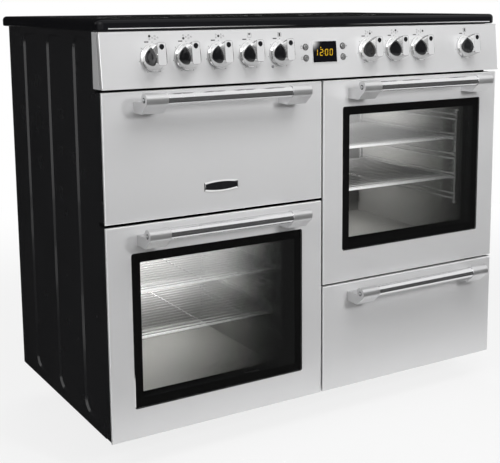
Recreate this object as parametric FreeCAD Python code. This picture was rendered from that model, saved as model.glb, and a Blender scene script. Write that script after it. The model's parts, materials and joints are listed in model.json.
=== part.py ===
import FreeCAD, Part
import math
import os

# A free-standing electric range cooker, 100 cm wide: a ceramic hob with six
# heated zones, nine control knobs and a clock on a leaning fascia, a grill and a
# main oven on the left, a tall fan oven and a storage drawer on the right.
# Millimetres. +X is to the right, -Y is towards the cook, +Z is up. The origin is
# on the floor, halfway across the cooker and halfway along its depth, handles
# included.

# Overall sizes
width = 1000.0
height = 900.0
depth_behind_doors = 600.0
handle_reach = 48.0
handle_barrel_radius = 13.0
overall_depth = depth_behind_doors + handle_reach + handle_barrel_radius
door_face = -overall_depth / 2 + handle_reach + handle_barrel_radius
hob_rear = overall_depth / 2

# Sheet, gaps and overruns
sheet = 1.5
thin_sheet = 1.0
running_gap = 0.3
pin_gap = 0.05
overrun = 5.0
parallel_share = 0.999

# Doors and drawer front, as seen from the front
door_middle = -1.0
door_gap = 5.0
door_above_base = 2.0
grill_door_height = 252.0
left_door_gap = 6.0
tall_door_height = 447.0
right_door_gap = 5.0
door_skin_depth = 5.0
door_depth = 34.0
door_edge_radius = 3.0
door_to_frame = 4.0

# Windows, measured in from the edges of their doors
window_side = 52.0
main_window_top = 57.0
main_window_bottom = 64.0
tall_window_top = 59.5
tall_window_bottom = 71.5
window_corner_radius = 3.0
pane = 4.0
pane_set_back = 0.5
pane_gap = 0.3
window_lap = 10.0
rear_lap = 8.0

# Door hinges
hinge_pin_radius = 4.0
hinge_above_edge = 8.0
hinge_behind_face = 11.0
hinge_inset = 38.0
hinge_arm = 4.0
hinge_lug = 8.0
hinge_arm_radius = 5.0
hinge_slot_gap = 0.8
hinge_cheek = 4.0

# Handles
handle_length = 368.0
handle_below_top = 13.5
handle_tube_radius = 11.5
handle_bracket_length = 45.0
handle_tube_entry = 20.0
foot_drop = 27.0
foot_top_drop = 6.0
foot_reach = 36.0
cap_screw_radius = 4.5
cap_screw_depth = 2.0

# Control fascia
fascia_top_gap = 1.5
fascia_height = 106.5
fascia_door_gap = 5.5
fascia_lead = 6.7
fascia_lean = 11.4
fascia_return = 7.0
fascia_groove = 4.5
fascia_cap = 10.0
lean_angle = math.atan2(fascia_lean, fascia_height)
knob_row = 57.0
knob_place_shares = {
    "rear_left": -0.393, "front_left": -0.3214, "centre": -0.2498, "grill": -0.1782, "main_oven": -0.1066,
    "front_right": 0.119, "rear_right": 0.1906, "warming": 0.2622, "tall_oven": 0.4,
}
knob_radius = 26.5
knob_height = 41.0
knob_skirt = 6.0
knob_waist = 9.0
knob_lift = 1.0
knob_grip_width = 18.0
knob_grip_length = 44.0
knob_grip_corner = 5.5
knob_grip_rise = 4.5
knob_base_width = 46.0
knob_base_length = 50.0
knob_base_corner = 22.0
knob_dot_radius = 4.5
knob_dot_inset = 8.5
knob_dot_depth = 0.6
spindle_radius = 3.0
spindle_length = 14.0
spindle_hole = 4.0
switch_side = 40.0
switch_depth = 28.0
clock_middle = 3.0
clock_width = 62.0
clock_height = 45.0
clock_row = 56.5
clock_glass = 1.6
clock_window_lap = 3.0
button_radius = 5.0
button_proud = 2.5
button_behind = 3.0
button_travel = 1.5
button_hole_gap = 0.3
button_dome = 1.5
button_offset = 47.5
button_rows = (44.5, 67.5)
button_board_gap = 2.0
clock_board_setback = sheet + button_behind + button_travel + button_board_gap
clock_board = 2.0
clock_board_margin = 6.0
neon_place_share = -0.127
neon_row = 30.0
neon_radius = 3.0
neon_proud = 1.5
neon_behind = 8.0

# Hob
hob_thickness = 22.0
hob_front_setback = 5.0
hob_corner_radius = 16.0
hob_top_radius = 9.0
hob_bottom_radius = 4.0
hob_rim = 12.0
hob_ledge = 10.0
hob_glass_thickness = 4.0
hob_glass_drop = 0.5
hob_glass_corner = 8.0
hob_glass_gap = 0.5
hob_tray_drop = 16.0
hob_tray_inset = 18.0
left_zones_share = -0.35
middle_zone_share = -0.09
right_zones_share = 0.17
warming_zone_share = 0.385
zone_row = 115.0
small_zone_radius = 72.5
large_zone_radius = 90.0
dual_zone_radius = 105.0
warming_width = 100.0
warming_length = 300.0
warming_corner = 20.0
element_gap = 1.0
element_wall = 3.0
element_floor = 4.0
ribbon_width = 6.0
ribbon_height = 5.0

# Carcass
side_inset = 3.0
side_sheet = 1.0
channel_depth = 4.0
channel_width = 90.0
channel_taper = 4.0
channel_corner = 26.0
channel_middle = -13.5
channel_pitch = 151.5
channel_margin = 24.0
side_bottom = 70.0
rear_setback = 48.0
feet_inset_x = 100.0
feet_setback = 175.0
feet_rear_inset = 55.0
foot_pad_radius = 18.0
foot_pad_height = 12.0
foot_stem_radius = 6.0
foot_nut_radius = 11.0
foot_nut_height = 6.0

# Ovens, grill and drawer bay
oven_side_margin = 60.0
oven_depth = 420.0
oven_wall = 1.2
oven_corner = 14.0
grill_floor_lift = 32.5
main_floor_lift = 38.0
main_roof_drop = 36.5
tall_floor_lift = 37.5
lagging = 25.0
lagging_gap = 0.2
seal_width = 8.0
seal_height = 3.5
seal_offset = 4.0
deck_drop = 0.5
deck_clearance = 2.6
bay_roof_drop = 7.5
bay_floor_lift = 13.0
bay_side = 24.0

# Wire shelves and their side runners
rung_radius = 2.0
post_radius = 2.5
wire_radius = 1.5
shelf_rod_radius = 2.5
runner_wall_gap = 8.0
runner_front = 22.0
runner_rear = 20.0
shelf_rear_gap = 6.0
rung_pitch = 48.5
rung_pair = 12.2
rung_headroom = 45.0
main_rung_lift = 92.0
tall_rung_lift = 99.0
shelf_rungs = (1, 3)
shelf_wires = 19
rest_gap = 0.2

# Grill pan and its rails
pan_rail_lift = 67.0
pan_depth = 34.0
pan_rim = 9.0
pan_side_gap = 6.0
pan_sheet = 1.2
pan_length = 330.0
trivet_rods = 13
trivet_legs = 8.0

# Heating elements
element_tube = 3.5
grill_passes = 8
oven_passes = 6
element_pitch = 38.0
element_drop = 14.0
element_front = 60.0
element_cover_gap = 2.0
ring_radius = 92.0
ring_tube = 4.0
ring_leg_tube = 3.2

# Oven fan
fan_radius = 70.0
fan_blades = 8
fan_blade = 1.2
fan_blade_width = 14.0
fan_hub_radius = 9.0
fan_shaft_radius = 4.0
fan_disc = 1.2
fan_front_gap = 6.0
cover_side = 250.0
cover_depth = 34.0
cover_hole = 6.0
cover_ring_share = 0.36
cover_ring_holes = 20
cover_inner_share = 0.18
cover_inner_holes = 10
motor_radius = 32.0
motor_depth = 38.0
shaft_hole = 5.5

# Cooling blower above the ovens
blower_length = 170.0
blower_radius = 26.0
blower_blades = 12
blower_blade = 1.0
blower_blade_share = 0.72
blower_gap = 6.0
blower_plate = 3.0
blower_shaft_radius = 3.0
blower_setback = 90.0
blower_stub = 2.0

# Storage drawer
drawer_skin_depth = 17.0
drawer_travel = 280.0
drawer_tail = 150.0
drawer_depth = drawer_travel + drawer_tail
drawer_side = 40.0
drawer_top_drop = 28.0
drawer_floor_lift = 20.0
drawer_sheet = 1.2
drawer_rim = 12.0
rail_height = 20.0

# Rear
louvre_length = 60.0
louvre_height = 5.0
louvre_pitch_x = 90.0
louvre_pitch_z = 22.0
louvre_columns = 8
louvre_rows = 4
louvre_drop = 48.0
terminal_width = 120.0
terminal_height = 120.0
terminal_depth = 26.0
terminal_inset = 160.0
terminal_bottom = 130.0
terminal_wall = 2.0
gland_radius = 14.0
gland_bore = 9.0
gland_length = 18.0
lamp_radius = 18.0
lamp_depth = 14.0
lamp_inset = 46.0
badge_width = 78.0
badge_height = 23.5
badge_end_height = 17.0
badge_thickness = 2.5
badge_place = -249.0
badge_above_edge = 53.0

# Derived planes
hob_bottom = height - hob_thickness
fascia_top = hob_bottom - fascia_top_gap
fascia_bottom = fascia_top - fascia_height
doors_top = fascia_bottom - fascia_door_gap
doors_bottom = side_bottom + door_above_base
deck_height = doors_top - deck_drop
louvre_top = hob_bottom - louvre_drop
frame_face = door_face + door_depth + door_to_frame
frame_back = frame_face + sheet
side_outer = width / 2 - side_inset
side_inner = side_outer - side_sheet
channel_back = side_outer - channel_depth - side_sheet
side_front = frame_face
rear_face = hob_rear - rear_setback
rear_inner = rear_face - sheet
hob_front = door_face + hob_front_setback
oven_rear = frame_back + oven_depth
lagging_rear = oven_rear + oven_wall + lagging_gap + lagging
base_top = side_bottom + sheet
terminal_middle = width / 2 - terminal_inset

# Door outlines: left, right, bottom, top
left_edge = -width / 2
right_edge = width / 2
left_inner = door_middle - door_gap / 2
right_inner = door_middle + door_gap / 2
grill_bottom = doors_top - grill_door_height
tall_bottom = doors_top - tall_door_height
grill_door = (left_edge, left_inner, grill_bottom, doors_top)
main_door = (left_edge, left_inner, doors_bottom, grill_bottom - left_door_gap)
tall_door = (right_inner, right_edge, tall_bottom, doors_top)
drawer_front = (right_inner, right_edge, doors_bottom, tall_bottom - right_door_gap)

# Oven floors, roofs and what hangs in them
grill_floor = grill_bottom + grill_floor_lift
main_floor = doors_bottom + main_floor_lift
main_roof = main_door[3] - main_roof_drop
tall_floor = tall_bottom + tall_floor_lift
tall_roof = deck_height - deck_clearance - lagging - lagging_gap - oven_wall
grill_roof = tall_roof
bay_roof = tall_bottom - bay_roof_drop
bay_floor = doors_bottom + bay_floor_lift
main_first_rung = main_floor + main_rung_lift
tall_first_rung = tall_floor + tall_rung_lift
pan_rail_height = grill_floor + pan_rail_lift
fan_height = (tall_floor + tall_roof) / 2
element_cover_top = main_floor + element_drop + element_tube + element_cover_gap + thin_sheet

# Oven openings: left, right, bottom, top
grill_oven = (left_edge + oven_side_margin, door_middle - oven_side_margin, grill_floor, grill_roof)
main_oven = (left_edge + oven_side_margin, door_middle - oven_side_margin, main_floor, main_roof)
tall_oven = (door_middle + oven_side_margin, right_edge - oven_side_margin, tall_floor, tall_roof)
drawer_bay = (right_inner + bay_side, right_edge - bay_side, bay_floor, bay_roof - sheet)


def point(x, y, z):
    return FreeCAD.Vector(x, y, z)


def block(x0, x1, y0, y1, z0, z1):
    return Part.makeBox(x1 - x0, y1 - y0, z1 - z0, point(x0, y0, z0))


def slab(outline, y0, y1):
    x0, x1, z0, z1 = outline
    return block(x0, x1, y0, y1, z0, z1)


def grown(outline, by):
    x0, x1, z0, z1 = outline
    return (x0 - by, x1 + by, z0 - by, z1 + by)


def rod(radius, start, end):
    line = end - start
    return Part.makeCylinder(radius, line.Length, start, line)


def edges_where(shape, test):
    return [edge for edge in shape.Edges if all(test(vertex.Point) for vertex in edge.Vertexes)]


def near(a, b):
    return abs(a - b) < sheet * 1e-4


def edges_along(shape, axis):
    found = []
    for edge in shape.Edges:
        if len(edge.Vertexes) == 2:
            line = edge.Vertexes[1].Point - edge.Vertexes[0].Point
            if line.Length > 0 and abs(line.dot(axis)) > parallel_share * line.Length:
                found.append(edge)
    return found


def rounded_slab(outline, y0, y1, radius):
    plain = slab(outline, y0, y1)
    return plain.makeFillet(radius, edges_along(plain, point(0, 1, 0)))


def joined(shapes):
    return shapes[0].multiFuse(shapes[1:]).removeSplitter()


def prism_along_x(corners, x0, x1):
    """A solid from a loop of (y, z) corners, pulled from x0 to x1."""
    loop = [point(x0, y, z) for y, z in corners]
    face = Part.Face(Part.makePolygon(loop + loop[:1]))
    return face.extrude(point(x1 - x0, 0, 0))


def on_fascia(shape, across, up, out=0.0):
    """Puts a shape that faces +Z, with +Y up the slope, on the leaning fascia."""
    foot_y = door_face - fascia_lead
    y = foot_y + up * math.sin(lean_angle) - out * math.cos(lean_angle)
    z = fascia_bottom + up * math.cos(lean_angle) + out * math.sin(lean_angle)
    turn = FreeCAD.Rotation(point(1, 0, 0), 90 - math.degrees(lean_angle))
    placed = shape.copy()
    placed.Placement = FreeCAD.Placement(point(across, y, z), turn)
    return placed


def knob_places():
    return {name: share * width for name, share in knob_place_shares.items()}


# Carcass

def channel_loop(x, middle, shrink):
    """A rounded upright outline on the side panel, smaller by shrink all round."""
    half = channel_width / 2 - shrink
    low = side_bottom + channel_margin + shrink
    high = hob_bottom - channel_margin / 2 - shrink
    corner = channel_corner - shrink
    y0 = middle - half
    y1 = middle + half
    bend = corner * (1 - math.sqrt(0.5))
    lines = [
        Part.makeLine(point(x, y0 + corner, low), point(x, y1 - corner, low)),
        Part.Arc(point(x, y1 - corner, low), point(x, y1 - bend, low + bend),
                 point(x, y1, low + corner)).toShape(),
        Part.makeLine(point(x, y1, low + corner), point(x, y1, high - corner)),
        Part.Arc(point(x, y1, high - corner), point(x, y1 - bend, high - bend),
                 point(x, y1 - corner, high)).toShape(),
        Part.makeLine(point(x, y1 - corner, high), point(x, y0 + corner, high)),
        Part.Arc(point(x, y0 + corner, high), point(x, y0 + bend, high - bend),
                 point(x, y0, high - corner)).toShape(),
        Part.makeLine(point(x, y0, high - corner), point(x, y0, low + corner)),
        Part.Arc(point(x, y0, low + corner), point(x, y0 + bend, low + bend),
                 point(x, y0 + corner, low)).toShape(),
    ]
    return Part.Wire(lines)


def side_panel(side):
    outer = side * side_outer
    inner = side * side_inner
    panel = block(min(outer, inner), max(outer, inner), side_front, rear_face, side_bottom, hob_bottom)
    for step in (-1, 0, 1):
        middle = channel_middle + step * channel_pitch
        rim = channel_loop(outer, middle, -side_sheet)
        back = channel_loop(side * channel_back, middle, channel_taper - side_sheet)
        dish = Part.makeLoft([rim, back], True, True)
        mouth = channel_loop(outer, middle, 0)
        floor = channel_loop(side * (side_outer - channel_depth), middle, channel_taper)
        hollow = Part.makeLoft([mouth, floor], True, True)
        panel = panel.fuse(dish).cut(hollow)
    return panel


def base_pan():
    plate = block(-side_inner, side_inner, frame_back, rear_inner, side_bottom, base_top)
    nuts = [
        Part.makeCylinder(foot_nut_radius, foot_nut_height, point(x, y, base_top))
        for x, y in feet_places()
    ]
    return joined([plate] + nuts)


def feet_places():
    front = door_face + feet_setback
    rear = rear_face - feet_rear_inset
    across = width / 2 - feet_inset_x
    return [(-across, front), (across, front), (-across, rear), (across, rear)]


def adjustable_foot(x, y):
    pad = Part.makeCylinder(foot_pad_radius, foot_pad_height, point(x, y, 0))
    stem = Part.makeCylinder(foot_stem_radius, side_bottom, point(x, y, 0))
    return joined([pad, stem])


def front_frame():
    plate = block(-side_inner, side_inner, frame_face, frame_back, side_bottom, fascia_bottom)
    for opening in (grill_oven, main_oven, tall_oven, drawer_bay):
        plate = plate.cut(slab(opening, frame_face - overrun, frame_back + overrun))
    return plate


def inner_partitions():
    back = rear_inner
    face = door_middle + sheet / 2
    middle = block(face - sheet, face, frame_back, back, base_top, deck_height)
    bay = block(face, channel_back, frame_back, back, bay_roof, bay_roof + sheet)
    deck = block(-channel_back, channel_back, frame_back, back, deck_height, deck_height + sheet)
    return [middle, bay, deck]


def oven_box(outline, shaft=None):
    outer = slab(grown(outline, oven_wall), frame_back, oven_rear + oven_wall)
    hollow = slab(outline, frame_back - overrun, oven_rear)
    shell = outer.cut(hollow)
    if shaft:
        shell = shell.cut(rod(shaft_hole, point(shaft[0], oven_rear - overrun, shaft[1]),
                              point(shaft[0], oven_rear + oven_wall + overrun, shaft[1])))
    return shell


def lagging_box(outline, shaft=None):
    inner = grown(outline, oven_wall + lagging_gap)
    outer = grown(inner, lagging)
    back = oven_rear + oven_wall + lagging_gap
    shell = slab(outer, frame_back, lagging_rear).cut(slab(inner, frame_back - overrun, back))
    if shaft:
        shell = shell.cut(rod(shaft_hole, point(shaft[0], back - overrun, shaft[1]),
                              point(shaft[0], lagging_rear + overrun, shaft[1])))
    return shell


def oven_seal(outline):
    inner = grown(outline, seal_offset)
    outer = grown(inner, seal_width)
    band = rounded_slab(outer, frame_face - seal_height, frame_face, seal_width)
    return band.cut(slab(inner, frame_face - overrun - seal_height, frame_face + overrun))


def rear_panel():
    plate = block(-side_inner, side_inner, rear_inner, rear_face, side_bottom, hob_bottom)
    span = (louvre_columns - 1) * louvre_pitch_x
    slots = []
    for column in range(louvre_columns):
        left = -span / 2 + column * louvre_pitch_x - louvre_length / 2
        for row in range(louvre_rows):
            low = louvre_top - row * louvre_pitch_z - louvre_height / 2
            slot = (left, left + louvre_length, low, low + louvre_height)
            slots.append(slab(slot, rear_inner - overrun, rear_face + overrun))
    return plate.cut(Part.makeCompound(slots))


def terminal_cover():
    x0 = terminal_middle - terminal_width / 2
    x1 = terminal_middle + terminal_width / 2
    outline = (x0, x1, terminal_bottom, terminal_bottom + terminal_height)
    box = slab(outline, rear_face, rear_face + terminal_depth)
    hollow = slab(grown(outline, -terminal_wall), rear_face - overrun,
                  rear_face + terminal_depth - terminal_wall)
    centre_y = rear_face + terminal_depth / 2
    below = terminal_bottom - gland_length
    # The gland's collar is trimmed where it would reach into the rear panel.
    collar = rod(gland_radius, point(terminal_middle, centre_y, below),
                 point(terminal_middle, centre_y, terminal_bottom + terminal_wall))
    ahead = block(x0, x1, rear_face - gland_radius - overrun, rear_face, below - overrun,
                  terminal_bottom + terminal_wall + overrun)
    bore = rod(gland_bore, point(terminal_middle, centre_y, below - overrun),
               point(terminal_middle, centre_y, terminal_bottom + terminal_wall + overrun))
    return box.cut(hollow).fuse(collar.cut(ahead)).cut(bore)


# Hob

def hob_outline(inset):
    return (-width / 2 + inset, width / 2 - inset, hob_front + inset, hob_rear - inset)


def plate_on_hob(inset, z0, z1, corner):
    x0, x1, y0, y1 = hob_outline(inset)
    plain = block(x0, x1, y0, y1, z0, z1)
    return plain.makeFillet(corner, edges_along(plain, point(0, 0, 1)))


def hob_frame():
    body = plate_on_hob(0, hob_bottom, height, hob_corner_radius)
    body = body.makeFillet(hob_top_radius, edges_where(body, lambda p: near(p.z, height)))
    body = body.makeFillet(hob_bottom_radius, edges_where(body, lambda p: near(p.z, hob_bottom)))
    seat = height - hob_glass_drop - hob_glass_thickness
    pocket = plate_on_hob(hob_rim, seat, height + overrun, hob_glass_corner)
    x0, x1, y0 = hob_outline(hob_rim + hob_ledge)[:3]
    through = block(x0, x1, y0, rear_inner - sheet, hob_bottom - overrun, height + overrun)
    return body.cut(pocket).cut(through)


def hob_glass():
    top = height - hob_glass_drop
    return plate_on_hob(hob_rim + hob_glass_gap, top - hob_glass_thickness, top,
                        hob_glass_corner - hob_glass_gap)


def hob_tray():
    x0, x1 = hob_outline(hob_tray_inset)[:2]
    low = hob_bottom - hob_tray_drop
    y0 = frame_back + switch_depth
    y1 = rear_inner
    pan = block(x0, x1, y0, y1, low, hob_bottom)
    hollow = block(x0 + sheet, x1 - sheet, y0 + sheet, y1 - sheet, low + sheet, hob_bottom + overrun)
    return pan.cut(hollow)


def element_places():
    """Place across, place along the depth, and radius of each round zone."""
    middle_y = (hob_front + hob_rear) / 2
    left = left_zones_share * width
    right = right_zones_share * width
    return [
        (left, middle_y + zone_row, small_zone_radius),
        (left, middle_y - zone_row, large_zone_radius),
        (middle_zone_share * width, middle_y, dual_zone_radius),
        (right, middle_y + zone_row, large_zone_radius),
        (right, middle_y - zone_row, small_zone_radius),
    ]


def element_levels():
    low = hob_bottom - hob_tray_drop + sheet
    high = height - hob_glass_drop - hob_glass_thickness - element_gap
    return low, high


def radiant_element(x, y, radius):
    low, high = element_levels()
    dish = Part.makeCylinder(radius, high - low, point(x, y, low))
    hollow = Part.makeCylinder(radius - element_wall, high - low, point(x, y, low + element_floor))
    shapes = [dish.cut(hollow)]
    ring = radius - element_wall - ribbon_width
    while ring > ribbon_width * 2:
        outer = Part.makeCylinder(ring, ribbon_height, point(x, y, low + element_floor))
        inner = Part.makeCylinder(ring - ribbon_width / 3, ribbon_height, point(x, y, low + element_floor))
        shapes.append(outer.cut(inner))
        ring -= ribbon_width * 2
    return joined(shapes)


def warming_element():
    low, high = element_levels()
    middle_x = warming_zone_share * width
    middle_y = (hob_front + hob_rear) / 2
    half_x = warming_width / 2
    half_y = warming_length / 2
    dish = block(middle_x - half_x, middle_x + half_x, middle_y - half_y, middle_y + half_y, low, high)
    dish = dish.makeFillet(warming_corner, edges_along(dish, point(0, 0, 1)))
    inner_x = half_x - element_wall
    inner_y = half_y - element_wall
    hollow = block(middle_x - inner_x, middle_x + inner_x, middle_y - inner_y, middle_y + inner_y,
                   low + element_floor, high + overrun)
    hollow = hollow.makeFillet(warming_corner - element_wall, edges_along(hollow, point(0, 0, 1)))
    return dish.cut(hollow)


def radiant_elements():
    return [radiant_element(x, y, radius) for x, y, radius in element_places()] + [warming_element()]


# Control fascia

def fascia_profile(behind_face, back):
    """Corners of a slice of the fascia from behind_face behind its front, to the plane back."""
    foot = door_face - fascia_lead + behind_face
    head = foot + fascia_lean
    return [(foot, fascia_bottom), (head, fascia_top), (back, fascia_top), (back, fascia_bottom)]


def control_fascia():
    thickness = sheet / math.cos(lean_angle)
    solid = prism_along_x(fascia_profile(0, frame_back), -width / 2, width / 2)
    foot = door_face - fascia_lead + thickness
    climb = sheet * fascia_lean / (fascia_top - fascia_bottom)
    inside = [
        (foot + climb, fascia_bottom + sheet),
        (foot + fascia_lean - climb, fascia_top - sheet),
        (frame_back + overrun, fascia_top - sheet),
        (frame_back + overrun, fascia_bottom + sheet),
    ]
    shell = solid.cut(prism_along_x(inside, -width / 2 + sheet, width / 2 - sheet))
    for side in (-1, 1):
        ends = sorted((side * (width / 2 + overrun), side * (width / 2 - fascia_cap)))
        behind = prism_along_x(fascia_profile(fascia_return, frame_back + overrun), ends[0], ends[1])
        shell = shell.cut(behind)
    holes = []
    for across in knob_places().values():
        hole = Part.makeCylinder(spindle_hole, sheet + 2 * overrun, point(0, 0, -sheet - overrun))
        holes.append(on_fascia(hole, across, knob_row))
    for across in (clock_middle - button_offset, clock_middle + button_offset):
        for row in button_rows:
            hole = Part.makeCylinder(button_radius + button_hole_gap, sheet + 2 * overrun,
                                     point(0, 0, -sheet - overrun))
            holes.append(on_fascia(hole, across, row))
    window = Part.makeBox(clock_width - 2 * clock_window_lap, clock_height - 2 * clock_window_lap,
                          sheet + 2 * overrun,
                          point(clock_window_lap - clock_width / 2, clock_window_lap - clock_height / 2,
                                -sheet - overrun))
    holes.append(on_fascia(window, clock_middle, clock_row))
    neon_hole = Part.makeCylinder(neon_radius, sheet + 2 * overrun, point(0, 0, -sheet - overrun))
    holes.append(on_fascia(neon_hole, neon_place_share * width, neon_row))
    return shell.cut(Part.makeCompound(holes))


def fascia_end_cap(side):
    x0, x1 = sorted((side * width / 2, side * (width / 2 - fascia_cap)))
    front = fascia_return + fascia_groove
    return prism_along_x(fascia_profile(front, side_front), x0, x1)


def clock_lens():
    glass = Part.makeBox(clock_width, clock_height, clock_glass,
                         point(-clock_width / 2, -clock_height / 2, 0))
    glass = glass.makeFillet(clock_window_lap / 2, edges_along(glass, point(0, 0, 1)))
    return on_fascia(glass, clock_middle, clock_row)


def clock_module():
    reach = button_offset + clock_board_margin
    board = Part.makeBox(2 * reach, clock_height, clock_board,
                         point(-reach, -clock_height / 2, -clock_board_setback - clock_board))
    body = Part.makeBox(clock_width, clock_height, clock_board_setback - sheet,
                        point(-clock_width / 2, -clock_height / 2, -clock_board_setback))
    return on_fascia(joined([board, body]), clock_middle, clock_row)


def switch_body(across):
    body = Part.makeBox(switch_side, switch_side, switch_depth,
                        point(-switch_side / 2, -switch_side / 2, -sheet - switch_depth))
    bore = Part.makeCylinder(spindle_radius + pin_gap, spindle_length + overrun,
                             point(0, 0, -sheet - spindle_length))
    return on_fascia(body.cut(bore), across, knob_row)


def neon_lens():
    stem = Part.makeCylinder(neon_radius, neon_proud + neon_behind, point(0, 0, -neon_behind))
    crown = stem.makeFillet(neon_proud / 2, edges_where(stem, lambda p: near(p.z, neon_proud)))
    return on_fascia(crown, neon_place_share * width, neon_row)


def grip_loop(long_side, short_side, corner, rise, z):
    """A rounded oblong in eight edges, long side along Y and its middle raised along it."""
    x = short_side / 2
    y = long_side / 2
    bend = corner * (1 - math.sqrt(0.5))
    loop = Part.Wire([
        Part.makeLine(point(x, -y + corner, z), point(x, y - corner, z)),
        Part.Arc(point(x, y - corner, z), point(x - bend, y - bend, z), point(x - corner, y, z)).toShape(),
        Part.makeLine(point(x - corner, y, z), point(-x + corner, y, z)),
        Part.Arc(point(-x + corner, y, z), point(-x + bend, y - bend, z), point(-x, y - corner, z)).toShape(),
        Part.makeLine(point(-x, y - corner, z), point(-x, -y + corner, z)),
        Part.Arc(point(-x, -y + corner, z), point(-x + bend, -y + bend, z), point(-x + corner, -y, z)).toShape(),
        Part.makeLine(point(-x + corner, -y, z), point(x - corner, -y, z)),
        Part.Arc(point(x - corner, -y, z), point(x - bend, -y + bend, z), point(x, -y + corner, z)).toShape(),
    ])
    loop.translate(point(0, rise, 0))
    return loop


def knob(across):
    skirt = Part.makeCylinder(knob_radius, knob_skirt, point(0, 0, knob_lift))
    skirt = skirt.makeChamfer(knob_skirt / 2, edges_where(skirt, lambda p: near(p.z, knob_lift + knob_skirt)))
    grip = Part.makeLoft([
        grip_loop(knob_base_length, knob_base_width, knob_base_corner, 0, knob_lift + knob_skirt / 2),
        grip_loop(knob_base_length, knob_base_width, knob_base_corner, 0, knob_lift + knob_waist),
        grip_loop(knob_grip_length, knob_grip_width, knob_grip_corner, knob_grip_rise, knob_height),
    ], True, True)
    dot_place = knob_grip_rise + knob_grip_length / 2 - knob_dot_inset
    dot = Part.makeCylinder(knob_dot_radius, knob_dot_depth + overrun,
                            point(0, dot_place, knob_height - knob_dot_depth))
    spindle = Part.makeCylinder(spindle_radius, spindle_length + knob_lift + knob_skirt / 2,
                                point(0, 0, running_gap - sheet - spindle_length))
    body = joined([skirt, grip, spindle]).cut(dot)
    return on_fascia(body, across, knob_row)


def button(across, row):
    cap = Part.makeCylinder(button_radius, button_behind + sheet + button_proud,
                            point(0, 0, -button_behind - sheet))
    cap = cap.makeFillet(button_dome, edges_where(cap, lambda p: near(p.z, button_proud)))
    return on_fascia(cap, across, row)


# Doors

def door_window(outline, top, bottom):
    x0, x1, z0, z1 = outline
    return (x0 + window_side, x1 - window_side, z0 + bottom, z1 - top)


def hinge_axis(outline):
    return door_face + hinge_behind_face, outline[2] + hinge_above_edge


def hinge_places(outline):
    return [outline[0] + hinge_inset, outline[1] - hinge_inset]


def hinge_slots(outline):
    axis_y, axis_z = hinge_axis(outline)
    reach = hinge_arm_radius + hinge_slot_gap
    half = hinge_arm / 2 + hinge_slot_gap
    return Part.makeCompound([
        block(x - half, x + half, axis_y - reach, door_face + door_depth + overrun,
              outline[2] - overrun, axis_z + reach)
        for x in hinge_places(outline)
    ])


def door_panel(outline, depth, window=None, hinged=True):
    skin = slab(outline, door_face, door_face + depth)
    skin = skin.makeFillet(door_edge_radius, edges_where(skin, lambda p: near(p.y, door_face)))
    hollow = slab(grown(outline, -sheet), door_face + sheet, door_face + depth + overrun)
    skin = skin.cut(hollow)
    if window:
        skin = skin.cut(rounded_slab(window, door_face - overrun, door_face + sheet + overrun,
                                     window_corner_radius))
    if hinged:
        skin = skin.cut(hinge_slots(outline))
    return skin


def door_liner(outline, window=None):
    edge = grown(outline, -sheet)
    front = door_face + sheet
    back = door_face + door_depth
    tray = slab(edge, front, back).cut(slab(grown(edge, -thin_sheet), front - overrun, back - thin_sheet))
    if window:
        tunnel = grown(window, -window_lap)
        tunnel_front = door_face + pane_set_back + pane
        tray = tray.fuse(slab(grown(tunnel, thin_sheet), tunnel_front, back))
        tray = tray.cut(slab(tunnel, tunnel_front - overrun, back - thin_sheet))
        tray = tray.cut(slab(grown(tunnel, -rear_lap), back - thin_sheet - overrun, back + overrun))
    axis_y, axis_z = hinge_axis(outline)
    for x in hinge_places(outline):
        start = x + hinge_arm / 2 + hinge_slot_gap
        reach = hinge_arm_radius + hinge_cheek
        cheek = block(start, start + hinge_lug, front, axis_y + reach, outline[2] + sheet, axis_z + reach)
        tray = tray.fuse(cheek)
    tray = tray.cut(hinge_slots(outline))
    for x in hinge_places(outline):
        bore = rod(hinge_pin_radius + pin_gap, point(x, axis_y, axis_z),
                   point(x + hinge_arm / 2 + hinge_slot_gap + hinge_lug + overrun, axis_y, axis_z))
        tray = tray.cut(bore)
    return tray


def door_panes(window):
    front = door_face + pane_set_back
    outer = rounded_slab(grown(window, -pane_gap), front, front + pane, window_corner_radius)
    back = door_face + door_depth - thin_sheet
    inner = slab(grown(window, -window_lap - pane_gap), back - pane, back)
    return [outer, inner]


def hinge_pins(outline):
    axis_y, axis_z = hinge_axis(outline)
    pins = []
    for x in hinge_places(outline):
        x0 = x - hinge_arm / 2
        x1 = x + hinge_arm / 2
        arm = block(x0, x1, axis_y, frame_face, axis_z - hinge_arm_radius, axis_z + hinge_arm_radius)
        eye = rod(hinge_arm_radius, point(x0, axis_y, axis_z), point(x1, axis_y, axis_z))
        pin = rod(hinge_pin_radius, point(x0, axis_y, axis_z),
                  point(x1 + hinge_slot_gap + hinge_lug, axis_y, axis_z))
        pins.append(joined([arm, eye, pin]))
    return pins


# Handles

def handle_middle(outline):
    return (outline[0] + outline[1]) / 2


def handle_height(outline):
    return outline[3] - handle_below_top


def handle_bracket(x0, x1, z):
    """A round barrel that carries the tube, and the chamfered foot behind it."""
    barrel_y = door_face - handle_reach
    tip_y = door_face - foot_reach
    low = z - foot_drop
    # The foot's lower face runs from its tip to touch the front of the barrel.
    run_y = barrel_y - tip_y
    run_z = foot_drop
    gap = math.hypot(run_y, run_z)
    toward_tip = math.atan2(-run_z, -run_y)
    spread = math.acos(handle_barrel_radius / gap)
    touch = toward_tip - spread
    touch_y = barrel_y + handle_barrel_radius * math.cos(touch)
    touch_z = z + handle_barrel_radius * math.sin(touch)
    foot = prism_along_x([
        (door_face, low), (tip_y, low), (touch_y, touch_z), (barrel_y, z),
        (barrel_y, z - foot_top_drop / 2), (door_face, z - foot_top_drop),
    ], x0, x1)
    barrel = rod(handle_barrel_radius, point(x0, barrel_y, z), point(x1, barrel_y, z))
    return joined([barrel, foot])


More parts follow.
